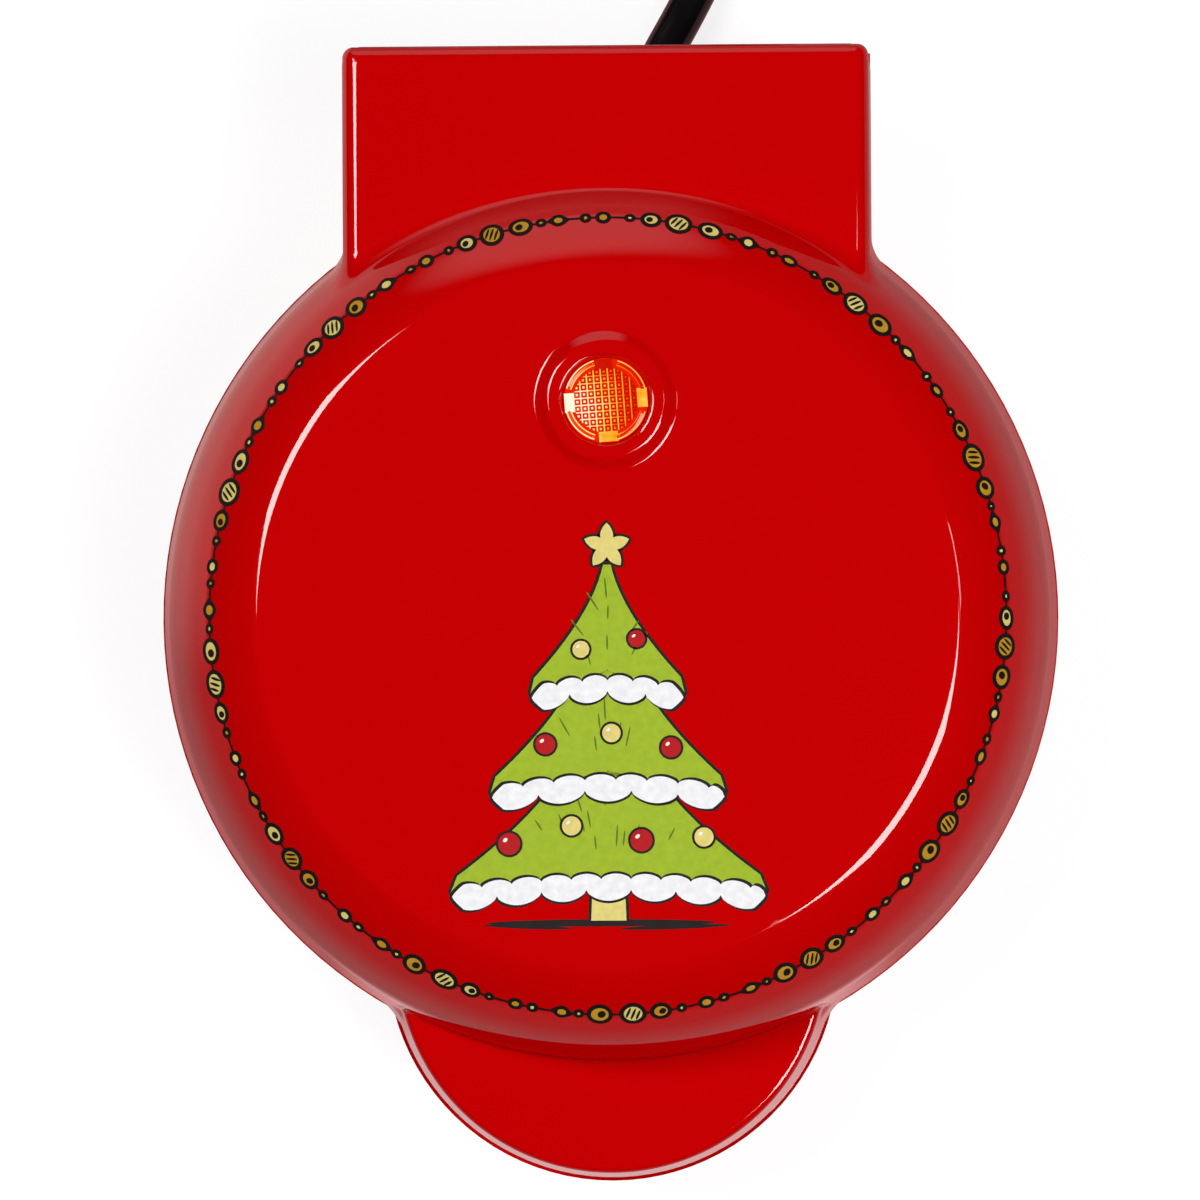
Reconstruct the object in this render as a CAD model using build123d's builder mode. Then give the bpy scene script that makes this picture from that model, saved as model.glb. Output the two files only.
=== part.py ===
from build123d import *

import os
from math import acos, atan, atan2, cos, degrees, hypot, pi, radians, sin, sqrt, tan

# Mini waffle maker: a round countertop cooker with a lid that hinges at the back.
# Millimetres. The feet stand on Z = 0 and Z is up. The round body is centred on the Z axis,
# the handle tab points to -Y and the hinge block to +Y.

# Overall form
base_radius = 63.5          # rim of the base, the widest round
lid_radius = 63.2           # rim of the lid
half_length = 79.8          # nose of the handle tab, and rear of the hinge block
foot_height = 3.0
base_rim = 36.4             # height of the base's rim
lid_rim = 37.4              # height of the lid's rim, one millimetre above it
lid_top = 70.0              # flat round top of the lid
wall = 2.4                  # moulded housings
middle = (base_rim + lid_rim) / 2

# Dome of the lid
disc_radius = 48.1          # flat top
shoulder_radius = 20.0      # round from the flat top to the side
crease = 20.0               # degrees by which the shoulder breaks away from the flat top

# Bowl of the base
bowl_foot_radius = 57.5
bowl_corner = 9.0

# Hinge block
block_half_width = 37.3
block_front = 20.0          # its front end is buried in the dome
block_top = 61.0
block_corner = 2.5
block_edge = 2.0
block_draft = 2.6           # degrees
base_block_rear = 78.5

# Handle tab: the lid's half stands back a little from the base's
tab_radius = 31.5
tab_draft = 10.0            # degrees
tab_edge = 1.2
tab_top = 46.5
base_tab_radius = 32.0
base_tab_draft = 5.0
base_tab_edge = 4.0
tab_bottom = 26.5
tab_centre = -(half_length - base_tab_radius)

# Hinge
hinge_y = 69.0
hinge_z = middle
lid_open = 100.0            # degrees
barrel_radius = 7.6
barrel_half = 29.7
barrel_bore = 3.6
ear_inner = 30.0            # the lid's ears stand outside the barrel
ear_radius = half_length - hinge_y
ear_gap = 0.5
pin_radius = 2.5
bush_radius = 3.0
bush_bore = 1.9
pin_end = 35.0
bush_end = 32.8
lead_slot_end = 35.9
running_gap = 0.05

# Waffle plates
plate_radius = 56.0
cook_radius = 50.8
window_radius = 54.5        # round opening in each deck
window_chamfer = 1.2
deck_thickness = 2.2
deck_gap = 0.1
flange = 2.0
cook_depth = 7.2            # from the stud tops to the floor of the plate
plate_floor = 2.5
stud_pitch = 16.5
stud_base = 12.4
stud_taper = 11.0           # degrees
studs_across = 6

plate_screw_ring = 20.0
plate_screw_length = 9.0

# Heaters behind the plates
element_ring = 30.0
element_radius = 3.0
element_turn = 5.0          # bend at each end of the ring
element_low = 11.0
gap_angle = 150.0           # the open side of the ring
gap_half = 24.0
sheet = 0.5                 # pressed reflectors
reflector_depth = 15.7
reflector_radius = 54.0
reflector_corner = 5.0
fuse_x, fuse_y = -24.0, -17.5

# Indicator lens
lens_y = 29.3
lens_radius = 5.75
lens_height = 1.3
lens_seat = 5.95
lens_stem = 4.9
lens_ledge = 69.2           # the lens's rim stands on it
lens_low = 62.0             # lower end of its stem
lens_window = 4.75
window_depth = 0.45
prism_pitch = 0.97
prism_height = 0.3
lamp_low = 59.0
lamp_radius = 2.5
bezel_toe = 9.45            # raised ring round the lens
bezel_crest = 7.82
bezel_height = 1.0

# Screws that hold the decks
front_screws = (14.0, -66.0)
rear_screws = (22.0, 56.8)
boss_radius = 3.5
screw_radius = 1.4
head_radius = 2.6
head_height = 1.2
pad_x, pad_y = 24.0, -60.0  # rest pads on the base's deck
head_seat = 2.4             # from the outside of the base up to the underside of a screw's head
screw_seat = 4.6            # and up to where the deck's boss stands

# Feet
foot_ring = 43.0
foot_radius = 6.0
foot_stem = 2.6

# Leads inside the housings
lead_radius = 1.3
lead_x = 16.0               # where the leads enter the barrel
lead_fall = 41.0            # degrees

# Mains lead
cord_radius = 3.0
exit_x = 3.5
exit_z = 9.0
relief_start = 40.0         # inner end of the strain relief
exit_y = 60.0               # where the lead leaves it
relief_neck = 4.2
relief_tip = 3.4
recess_front = 44.9
recess_half = 7.0
recess_roof = 13.6

# Route of the mains lead from the strain relief to its coil: it drops to the table and bears right
route = [
    (exit_x, exit_y, exit_z),
    (3.5, 70.6, exit_z),
    (5.95, 80.1, 7.6),
    (11.8, 90.5, 4.6),
    (17.7, 103.0, cord_radius),
    (22.0, 116.3, cord_radius),
    (24.7, 130.1, cord_radius),
]

# Coil: in along the table, up a layer and out again
coil_turns = 3.07
coil_pitch = 6.6            # from one turn to the next, and from one layer to the next
coil_middle = 35.5          # radius at the middle of its turns
coil_spans = 12

plug_height = 6.6           # centre of the plug above the table

# Free end: length and heading to the left of each run, and the height it ends at
tail_runs = [(9.0, 0.0, 9.6), (10.0, 8.0, 8.1), (10.0, 8.0, plug_height), (9.0, 4.0, plug_height)]

# Plug
plug_relief = 20.0
plug_body = (18.0, 2 * plug_height, 22.0)
blade = (1.5, 6.3, 16.0)
blade_spacing = 12.7


def turned(y, z, angle):
    """A point of the lid, after the lid has opened by angle degrees."""
    dy, dz = y - hinge_y, z - hinge_z
    c, s = cos(radians(angle)), sin(radians(angle))
    return hinge_y + dy * c + dz * s, hinge_z - dy * s + dz * c


def block_form(inset, rear, start, height):
    """Hinge block as a solid with drafted sides, from the seam up (or down, where height is negative)."""
    with BuildPart() as form:
        with BuildSketch(Plane.XY.offset(start)) as plan:
            with Locations((0, block_front)):
                Rectangle(2 * (block_half_width - inset), rear - inset - block_front,
                          align=(Align.CENTER, Align.MIN))
            if inset == 0:
                fillet(plan.vertices().group_by(Axis.Y)[-1], block_corner)
        extrude(amount=height, taper=block_draft)
        if inset == 0:
            end = Axis.Z if height > 0 else -Axis.Z
            top = form.faces().sort_by(end)[-1]
            fillet(top.edges().sort_by(Axis.Y)[1:], block_edge)
    return form.part


def tab_form(radius, start, height, draft, edge):
    """Handle tab: a round plate that stands out of the body at the front."""
    with BuildPart() as form:
        with BuildSketch(Plane.XY.offset(start)):
            with Locations((0, tab_centre)):
                Circle(radius)
        extrude(amount=height, taper=draft)
        if edge > 0:
            end = Axis.Z if height > 0 else -Axis.Z
            fillet(form.faces().sort_by(end)[-1].edges(), edge)
    return form.part


def lid_form(inset):
    """The lid as a full solid, drawn in by inset."""
    shoulder_r = disc_radius - shoulder_radius * sin(radians(crease))
    shoulder_z = lid_top - shoulder_radius * cos(radians(crease))
    reach_r, reach_z = lid_radius - shoulder_r, lid_rim - shoulder_z
    draft = acos(shoulder_radius / hypot(reach_r, reach_z)) + atan2(reach_z, reach_r)
    radius = shoulder_radius - inset
    side = (shoulder_r + radius * cos(draft), shoulder_z + radius * sin(draft))
    top = (shoulder_r + radius * sin(radians(crease)), shoulder_z + radius * cos(radians(crease)))
    rim = side[0] + (side[1] - lid_rim) * tan(draft)
    with BuildPart() as form:
        with BuildSketch(Plane.XZ):
            with BuildLine():
                Polyline(top, (0, top[1]), (0, lid_rim), (rim, lid_rim), side)
                CenterArc((shoulder_r, shoulder_z), radius, degrees(draft), 90 - crease - degrees(draft))
            make_face()
        revolve(axis=Axis.Z)
        add(block_form(inset, half_length, lid_rim, block_top - inset - lid_rim))
        add(tab_form(tab_radius - inset, lid_rim, tab_top - inset - lid_rim, tab_draft,
                     tab_edge if inset == 0 else 0))
    return form.part


def base_form(inset):
    """The base as a full solid, drawn in by inset, from its rim down to its floor."""
    floor = foot_height + inset
    slope = (base_radius - bowl_foot_radius) / (base_rim - foot_height)
    foot = bowl_foot_radius - inset + slope * inset
    with BuildPart() as form:
        with BuildSketch(Plane.XZ):
            with BuildLine():
                bowl = FilletPolyline((0, floor), (foot, floor), (base_radius - inset, base_rim),
                                      radius=bowl_corner - min(inset, wall))
                Polyline(bowl @ 1, (0, base_rim), (0, floor))
            make_face()
        revolve(axis=Axis.Z)
        add(block_form(inset, base_block_rear, base_rim, floor - base_rim))
        add(tab_form(base_tab_radius - inset, base_rim, tab_bottom + inset - base_rim, base_tab_draft,
                     base_tab_edge if inset == 0 else 0))
    return form.part


def slab(low, high, rear):
    """A wide flat layer in front of the plane Y = rear."""
    with BuildPart() as layer:
        with Locations((0, rear, low)):
            Box(4 * base_radius, 4 * base_radius, high - low, align=(Align.CENTER, Align.MAX, Align.MIN))
    return layer.part


def hinge_discs(radius, inner, outer):
    """Two discs about the hinge's axis, one on each side, from inner to outer along it."""
    with BuildPart() as discs:
        for sx in (-1, 1):
            with Locations(Location((sx * (inner + outer) / 2, hinge_y, hinge_z), (0, 90, 0))):
                Cylinder(radius, outer - inner)
    return discs.part


# A cylinder that stands on its lower end, or hangs from its upper end
stands = (Align.CENTER, Align.CENTER, Align.MIN)
hangs = (Align.CENTER, Align.CENTER, Align.MAX)

front_places = [(x, front_screws[1]) for x in (-front_screws[0], front_screws[0])]
rear_places = [(x, rear_screws[1]) for x in (-rear_screws[0], rear_screws[0])]
deck_places = front_places + rear_places
foot_places = [(sx * foot_ring * cos(pi / 4), sy * foot_ring * sin(pi / 4)) for sy in (-1, 1) for sx in (-1, 1)]

lower_deck_face = base_rim - deck_thickness        # underside of the base's deck
upper_deck_face = lid_rim + deck_thickness         # top of the lid's deck
barrel_rear_limit = hinge_y - barrel_radius - 1.0  # decks end in front of the barrel
neck_front = 63.6
neck_rear = 66.2
stop_gap = 0.1
reflector_bottom = lower_deck_face - flange - reflector_depth
reflector_top = upper_deck_face + flange + reflector_depth

# Forms that the housings share
lid_outer = lid_form(0)
lid_inner = lid_form(wall)
base_outer = base_form(0)
base_inner = base_form(wall)
base_rebate = base_form(wall / 2) & slab(lower_deck_face, base_rim + 1, neck_front)
lid_rebate = lid_form(wall / 2) & slab(lid_rim - 1, upper_deck_face, barrel_rear_limit)
base_deck_plan = base_form(wall / 2 + deck_gap) & slab(lower_deck_face, base_rim, neck_front - deck_gap)
lid_deck_plan = lid_form(wall / 2 + deck_gap) & slab(lid_rim, upper_deck_face, barrel_rear_limit - deck_gap)


# Base shell: bowl, hinge barrel, lead recess and posts
stop_inner = turned(half_length, lid_rim, lid_open)
stop_outer = turned(half_length - (block_top - lid_rim) * tan(radians(block_draft)), block_top, lid_open)
stop_slope = (stop_outer[1] - stop_inner[1]) / (stop_outer[0] - stop_inner[0])


def stop_height(y):
    """Height of the tail of the base, on which the opened lid comes to rest."""
    return stop_inner[1] + stop_slope * (y - stop_inner[0]) - stop_gap


with BuildPart() as base_cavity:
    add(base_inner)
    with BuildSketch(Plane.YZ.offset(-2 * block_half_width)):
        with BuildLine():
            Polyline((neck_front, stop_height(neck_front) - wall), (90, stop_height(90) - wall),
                     (90, 60), (neck_front, 60), close=True)
        make_face()
    extrude(amount=4 * block_half_width, mode=Mode.SUBTRACT)

ear_pockets = hinge_discs(ear_radius + ear_gap, barrel_half, barrel_half + 20)
ear_walls = hinge_discs(ear_radius + ear_gap + wall, barrel_half - wall, barrel_half + 20) & base_outer

with BuildPart() as recess_walls:
    with Locations((exit_x, recess_front - wall, 0)):
        Box(2 * (recess_half + wall), 60, recess_roof + wall, align=(Align.CENTER, Align.MIN, Align.MIN))
    add(base_outer, mode=Mode.INTERSECT)

with BuildPart() as base_shell:
    add(base_outer)
    add(base_cavity.part, mode=Mode.SUBTRACT)
    add(ear_walls)
    add(recess_walls.part)
    with BuildSketch(Plane.YZ.offset(-2 * block_half_width)):
        with BuildLine():
            Polyline((neck_rear, stop_height(neck_rear)), (90, stop_height(90)), (90, 60),
                     (neck_rear, 60), close=True)
        make_face()
    extrude(amount=4 * block_half_width, mode=Mode.SUBTRACT)
    add(ear_pockets, mode=Mode.SUBTRACT)
    with Locations(Location((0, hinge_y, hinge_z), (0, 90, 0))):
        Cylinder(barrel_radius, 2 * barrel_half)
        Cylinder(barrel_bore, 2 * barrel_half, mode=Mode.SUBTRACT)
    # Way for the leads from the base into the barrel
    with Locations(Location((lead_x, hinge_y, hinge_z), (90 + lead_fall, 0, 0))):
        Cylinder(2.2, 16, align=stands, mode=Mode.SUBTRACT)
    # Recess for the mains lead, and the hole for its strain relief
    with Locations((exit_x, recess_front, 0)):
        Box(2 * recess_half, 60, recess_roof, align=(Align.CENTER, Align.MIN, Align.MIN), mode=Mode.SUBTRACT)
    with Locations(Location((exit_x, recess_front, exit_z), (90, 0, 0))):
        Cylinder(relief_neck, wall, align=stands, mode=Mode.SUBTRACT)
    # Rebate for the deck
    add(base_rebate, mode=Mode.SUBTRACT)
    # Posts under the reflector
    for angle in (20, 110, 200, 290):
        with Locations((44 * cos(radians(angle)), 44 * sin(radians(angle)), foot_height + 1)):
            Cylinder(3.5, reflector_bottom - foot_height - 1, align=stands)
    # Holes for the deck screws, wide below for their heads
    for places, floor in ((front_places, tab_bottom), (rear_places, foot_height)):
        for x, y in places:
            with Locations((x, y, floor + wall / 2)):
                Cylinder(boss_radius + 0.5, screw_seat - wall / 2, align=stands)
            with Locations((x, y, floor + head_seat)):
                Cylinder(head_radius + 0.2, 20, align=hangs, mode=Mode.SUBTRACT)
            with Locations((x, y, floor)):
                Cylinder(screw_radius + 0.2, 8, align=stands, mode=Mode.SUBTRACT)
    for x, y in foot_places:
        with Locations((x, y, foot_height)):
            Cylinder(foot_stem, wall, align=stands, mode=Mode.SUBTRACT)


# Lid shell: dome, hood over the hinge, ears, bosses and posts. Above the seam the ears keep within the block.
ear_room = (block_form(0, half_length, lid_rim, block_top - lid_rim)
            + Pos(0, hinge_y, lid_rim) * Box(2 * block_half_width, 40, 20, align=hangs))
bezel_slope = (bezel_toe - bezel_crest) / bezel_height

with BuildPart() as lid_shell:
    add(lid_outer)
    with Locations((0, lens_y, lid_top - 0.5)):
        Cone(bezel_toe + 0.5 * bezel_slope, bezel_crest, 0.5 + bezel_height, align=stands)
    add(hinge_discs(ear_radius, ear_inner, block_half_width) & ear_room)
    add(lid_inner, mode=Mode.SUBTRACT)
    add(hinge_discs(ear_radius - 0.6, ear_inner, block_half_width - 1))
    add(lid_rebate, mode=Mode.SUBTRACT)
    for angle in (20, 110, 200, 290):
        with Locations((40 * cos(radians(angle)), 40 * sin(radians(angle)), reflector_top)):
            Cylinder(3.5, lid_top - 1 - reflector_top, align=stands)
    for places, roof in ((front_places, tab_top), (rear_places, block_top - 1)):
        for x, y in places:
            with Locations((x, y, upper_deck_face)):
                Cylinder(boss_radius, roof - wall / 2 - upper_deck_face, align=stands)
                Cylinder(screw_radius, roof - wall - 1 - upper_deck_face, align=stands, mode=Mode.SUBTRACT)
    # Seat of the lens, which widens upwards, and the hole for its stem
    with Locations((0, lens_y, lens_ledge)):
        Cone(lens_seat, lens_seat + 0.5, lid_top + bezel_height - lens_ledge, align=stands, mode=Mode.SUBTRACT)
        Cylinder(lens_stem + 0.1, 10, align=hangs, mode=Mode.SUBTRACT)
    # Bearings of the hinge, and the way of the leads up into the hood
    for sx, radius, reach in ((-1, pin_radius, pin_end), (1, bush_radius, lead_slot_end)):
        with Locations(Location((sx * (ear_inner - 1), hinge_y, hinge_z), (0, sx * 90, 0))):
            Cylinder(radius + running_gap, reach + 0.2 - ear_inner + 1, align=stands, mode=Mode.SUBTRACT)
    with Locations((lead_slot_end, hinge_y, hinge_z)):
        Box(lead_slot_end - bush_end, 3.4, 15,
            align=(Align.MAX, Align.CENTER, Align.MIN), mode=Mode.SUBTRACT)


# Decks: inner covers with a round window for the waffle plate
with BuildPart() as base_deck:
    add(base_deck_plan)
    for places, floor in ((front_places, tab_bottom), (rear_places, foot_height)):
        for x, y in places:
            with Locations((x, y, floor + screw_seat)):
                Cylinder(boss_radius, lower_deck_face - floor - screw_seat, align=stands)
                Cylinder(screw_radius, 8, align=stands, mode=Mode.SUBTRACT)
    with Locations(*[(sx * pad_x, pad_y, base_rim) for sx in (-1, 1)]):
        Cylinder(2.5, lid_rim - base_rim, align=stands)
    with Locations((0, 0, lower_deck_face)):
        Cylinder(window_radius, deck_thickness, align=stands, mode=Mode.SUBTRACT)
    add(ear_pockets, mode=Mode.SUBTRACT)
    chamfer(base_deck.faces().filter_by(Plane.XY).filter_by_position(Axis.Z, base_rim - 0.01, base_rim + 0.01)
            .edges().filter_by(lambda e: e.geom_type == GeomType.CIRCLE and abs(e.radius - window_radius) < 0.1),
            window_chamfer)

with BuildPart() as lid_deck:
    add(lid_deck_plan)
    with Locations((0, 0, lid_rim)):
        Cylinder(window_radius, deck_thickness, align=stands, mode=Mode.SUBTRACT)
    for x, y in deck_places:
        with Locations((x, y, lid_rim)):
            Cylinder(head_radius + 0.2, head_height, align=stands, mode=Mode.SUBTRACT)
            Cylinder(screw_radius + 0.2, deck_thickness, align=stands, mode=Mode.SUBTRACT)
    chamfer(lid_deck.faces().filter_by(Plane.XY).filter_by_position(Axis.Z, lid_rim - 0.01, lid_rim + 0.01)
            .edges().filter_by(lambda e: e.geom_type == GeomType.CIRCLE and abs(e.radius - window_radius) < 0.1),
            window_chamfer)


# Waffle plate, as it lies in the base: dish, square studs and the bosses behind it
stud_top = lower_deck_face
plate_inside = stud_top - cook_depth
plate_back = plate_inside - plate_floor
plate_screw_places = [(plate_screw_ring * cos(radians(a)), plate_screw_ring * sin(radians(a)))
                      for a in (90, 210, 330)]

with BuildPart() as studs:
    with BuildSketch(Plane.XY.offset(plate_inside)):
        with GridLocations(stud_pitch, stud_pitch, studs_across, studs_across):
            Rectangle(stud_base, stud_base)
    extrude(amount=cook_depth, taper=stud_taper)
    with Locations((0, 0, plate_inside)):
        Cone(cook_radius - 1.8, cook_radius - 3.2, cook_depth, align=stands, mode=Mode.INTERSECT)

with BuildPart() as lower_plate:
    with BuildSketch(Plane.XZ):
        with BuildLine():
            Polyline((0, plate_inside), (cook_radius - 1, plate_inside), (cook_radius, stud_top),
                     (plate_radius, stud_top), (plate_radius, stud_top - flange),
                     (cook_radius + 2.2, stud_top - flange), (cook_radius + 1.2, plate_back),
                     (0, plate_back), close=True)
        make_face()
    revolve(axis=Axis.Z)
    fillet(lower_plate.faces().sort_by(Axis.Z)[0].edges(), 2)
    add(studs.part)
    for x, y in plate_screw_places:
        with Locations((x, y, reflector_bottom + sheet)):
            Cylinder(boss_radius, plate_back - reflector_bottom - sheet, align=stands)
            Cylinder(screw_radius, plate_screw_length, align=stands, mode=Mode.SUBTRACT)


def reflector(middle_hole):
    """Pressed dish behind a waffle plate, as it lies in the base."""
    with BuildPart() as inside:
        with Locations((0, 0, reflector_bottom + sheet)):
            Cylinder(reflector_radius - sheet, reflector_depth, align=stands)
        fillet(inside.faces().sort_by(Axis.Z)[0].edges(), reflector_corner - sheet)
    with BuildPart() as dish:
        with Locations((0, 0, reflector_bottom)):
            Cylinder(reflector_radius, reflector_depth, align=stands)
        fillet(dish.faces().sort_by(Axis.Z)[0].edges(), reflector_corner)
        with Locations((0, 0, reflector_bottom + reflector_depth)):
            Cylinder(plate_radius - 0.2, sheet, align=hangs)
        add(inside.part, mode=Mode.SUBTRACT)
        for x, y in plate_screw_places:
            with Locations((x, y, reflector_bottom)):
                Cylinder(screw_radius + 0.2, sheet, align=stands, mode=Mode.SUBTRACT)
        for x, y in terminal_places:
            with Locations((x, y, reflector_bottom)):
                Cylinder(element_radius + 1, sheet, align=stands, mode=Mode.SUBTRACT)
        if middle_hole:
            with Locations((0, 0, reflector_bottom)):
                Cylinder(9.5, sheet, align=stands, mode=Mode.SUBTRACT)
    return dish.part


# Tubular element: an open ring whose two ends turn away from the plate
element_z = plate_back - element_radius


def ring_point(angle, reach, height):
    """A point at angle on the ring, then reach further along the ring's tangent."""
    a = radians(angle)
    return (element_ring * cos(a) - reach * sin(a), element_ring * sin(a) + reach * cos(a), height)


ring_start, ring_end = gap_angle + gap_half, gap_angle - gap_half
terminal_places = [ring_point(ring_start, -element_turn, 0)[:2], ring_point(ring_end, element_turn, 0)[:2]]

with BuildPart() as lower_element:
    with BuildLine() as element_line:
        first = ring_point(ring_start, -element_turn, element_z - element_turn)
        last = ring_point(ring_end, element_turn, element_z - element_turn)
        Line((first[0], first[1], element_low), first)
        TangentArc(first, ring_point(ring_start, 0, element_z), tangent=(0, 0, 1))
        CenterArc((0, 0, element_z), element_ring, ring_start, 360 - 2 * gap_half)
        TangentArc(ring_point(ring_end, 0, element_z), last,
                   tangent=(-sin(radians(ring_end)), cos(radians(ring_end)), 0))
        Line(last, (last[0], last[1], element_low))
    with BuildSketch(Plane((first[0], first[1], element_low))):
        Circle(element_radius)
    sweep(path=element_line.wires()[0])
    for x, y in terminal_places:
        with Locations((x, y, element_low)):
            Cylinder(1.1, 2.5, align=hangs)


with BuildPart() as lower_reflector:
    add(reflector(True))

with BuildPart() as lower_plate_screws:
    for x, y in plate_screw_places:
        with Locations((x, y, reflector_bottom)):
            Cylinder(head_radius, 1.6, align=hangs)
            Cylinder(screw_radius, plate_screw_length - 1, align=stands)
        with Locations((x, y, reflector_bottom - 1.6)):
            Box(3.4, 0.7, 0.8, align=stands, mode=Mode.SUBTRACT)
            Box(0.7, 3.4, 0.8, align=stands, mode=Mode.SUBTRACT)

# The lid holds the same plate, element, reflector and screws, turned over
seam_plane = Plane.XY.offset(middle)
with BuildPart() as upper_plate:
    mirror(lower_plate.part, about=seam_plane)
with BuildPart() as upper_element:
    mirror(lower_element.part, about=seam_plane)
with BuildPart() as upper_reflector:
    mirror(reflector(False), about=seam_plane)
with BuildPart() as upper_plate_screws:
    mirror(lower_plate_screws.part, about=seam_plane)

# Bimetal thermostat, pressed to the back of the lower plate
with BuildPart() as thermostat:
    with Locations((0, 0, plate_back)):
        Cylinder(8, 9, align=hangs)
        Box(9, 30, 0.6, align=hangs)
    with Locations((-4, 0, plate_back - 9), (4, 0, plate_back - 9)):
        Box(0.8, 6.3, 5, align=hangs)

# One-shot fuse, clipped under the lower reflector
fuse_z = reflector_bottom - 2.6
with BuildPart() as thermal_fuse:
    with Locations(Location((fuse_x, fuse_y, fuse_z), (0, 90, 0))):
        Cylinder(2, 14)
        Cylinder(2.6, 5)
    with Locations((fuse_x, fuse_y, reflector_bottom)):
        Box(5, 9, 0.6, align=hangs)

# Lens of the indicator, its lamp and the lamp's holder
with BuildPart() as indicator_lens:
    window_floor = lens_ledge + lens_height - window_depth
    with Locations((0, lens_y, lens_ledge)):
        Cylinder(lens_radius, lens_height, align=stands)
        fillet(indicator_lens.faces().sort_by(Axis.Z)[-1].edges(), 0.35)
        Cylinder(lens_stem, lens_ledge - lens_low, align=hangs)
    with Locations((0, lens_y, window_floor)):
        Cylinder(lens_window, window_depth, align=stands, mode=Mode.SUBTRACT)
    with Locations((0, lens_y, lens_ledge - 0.2)):
        Cylinder(lens_stem - 1, 12, align=hangs, mode=Mode.SUBTRACT)
    with BuildSketch(Plane.XY.offset(window_floor)):
        with Locations(*[(x * prism_pitch, lens_y + y * prism_pitch) for x in range(-4, 5) for y in range(-4, 5)
                         if hypot(x, y) * prism_pitch < lens_window - 0.7]):
            Rectangle(prism_pitch - 0.12, prism_pitch - 0.12)
    extrude(amount=prism_height, taper=38)

with BuildPart() as neon_lamp:
    with Locations((0, lens_y, lamp_low)):
        Cylinder(lamp_radius, 8, align=stands)
        fillet(neon_lamp.faces().sort_by(Axis.Z)[-1].edges(), 1.8)

with BuildPart() as lamp_holder:
    with Locations((0, lens_y, lamp_low - 0.5)):
        Cylinder(lens_stem + 0.8, lens_low - lamp_low + 2, align=stands)
    with Locations((0, lens_y, lens_low)):
        Cylinder(lens_stem, 5, align=stands, mode=Mode.SUBTRACT)
    with Locations((0, lens_y, lamp_low)):
        Cylinder(lamp_radius, 5, align=stands, mode=Mode.SUBTRACT)

# Hinge pin on the left and hollow bush on the right
with BuildPart() as pivot_pin:
    with Locations(Location((-barrel_half + 10, hinge_y, hinge_z), (0, -90, 0))):
        Cylinder(barrel_bore, 10, align=stands)
        Cylinder(pin_radius, pin_end - barrel_half + 10, align=stands)
    chamfer(pivot_pin.faces().sort_by(Axis.X)[0].edges(), 0.4)

with BuildPart() as pivot_bush:
    with Locations(Location((barrel_half - 10, hinge_y, hinge_z), (0, 90, 0))):
        Cylinder(barrel_bore, 10, align=stands)
        Cylinder(bush_radius, bush_end - barrel_half + 10, align=stands)
        Cylinder(bush_bore, 20, align=stands, mode=Mode.SUBTRACT)

# Screws through the base into its deck, and through the lid's deck into the lid
with BuildPart() as base_screws:
    for places, floor in ((front_places, tab_bottom), (rear_places, foot_height)):
        for x, y in places:
            with Locations((x, y, floor + head_seat)):
                Cylinder(head_radius, 1.8, align=hangs)
                Cylinder(screw_radius, screw_seat - head_seat + 6, align=stands)
            with Locations((x, y, floor + head_seat - 1.8)):
                Box(3.4, 0.7, 0.8, align=stands, mode=Mode.SUBTRACT)
                Box(0.7, 3.4, 0.8, align=stands, mode=Mode.SUBTRACT)

with BuildPart() as lid_screws:
    for x, y in deck_places:
        with Locations((x, y, lid_rim)):
            Cylinder(head_radius, head_height, align=stands)
            Cylinder(screw_radius, upper_deck_face - lid_rim + 3, align=stands)
            Box(3.4, 0.7, 0.7, align=stands, mode=Mode.SUBTRACT)
            Box(0.7, 3.4, 0.7, align=stands, mode=Mode.SUBTRACT)

# Rubber feet, pushed into holes in the floor
feet = {}
for name, (x, y) in zip(("foot_front_left", "foot_front_right", "foot_rear_left", "foot_rear_right"), foot_places):
    with BuildPart() as foot:
        with Locations((x, y, 0)):
            Cylinder(foot_radius, foot_height, align=stands)
            fillet(foot.faces().sort_by(Axis.Z)[0].edges(), 0.8)
        with Locations((x, y, foot_height)):
            Cylinder(foot_stem, wall, align=stands)
        with Locations((x, y, foot_height + wall)):
            Cone(foot_stem + 0.7, foot_stem - 0.6, 1.6, align=stands)
    feet[name] = foot


def tube(points, radii, radius):
    """A round tube along straight runs that are joined by arcs."""
    with BuildPart() as run:
        with BuildLine() as line:
            FilletPolyline(*points, radius=radii)
        path = line.wires()[0]
        with BuildSketch(Plane(path @ 0, z_dir=path % 0)):
            Circle(radius)
        sweep(path=path)
    return run.part


# Sleeved leads in the base: to the fuse and the lower element, and through the barrel's bore to the lid
near_terminal, far_terminal = terminal_places
terminal_z = element_low - 1.3
with BuildPart() as base_leads:
    add(tube([(exit_x + 1.5, relief_start, exit_z), (5, 26, 9), (-9, 8, 10), (-9, fuse_y, fuse_z),
              (fuse_x + 7, fuse_y, fuse_z)], [3, 3, 3], lead_radius))
    add(tube([(fuse_x - 7, fuse_y, fuse_z), (-34.8, fuse_y, fuse_z), (-35.5, near_terminal[1], terminal_z),
              (near_terminal[0] - 1.1, near_terminal[1], terminal_z)], [2, 2], lead_radius))
    add(tube([(exit_x - 1.5, relief_start, exit_z), (2, 33, 9), (-10, 26, terminal_z),
              (-16, far_terminal[1], terminal_z), (far_terminal[0] + 1.1, far_terminal[1], terminal_z)],
             [3, 3, 3], lead_radius))

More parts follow.
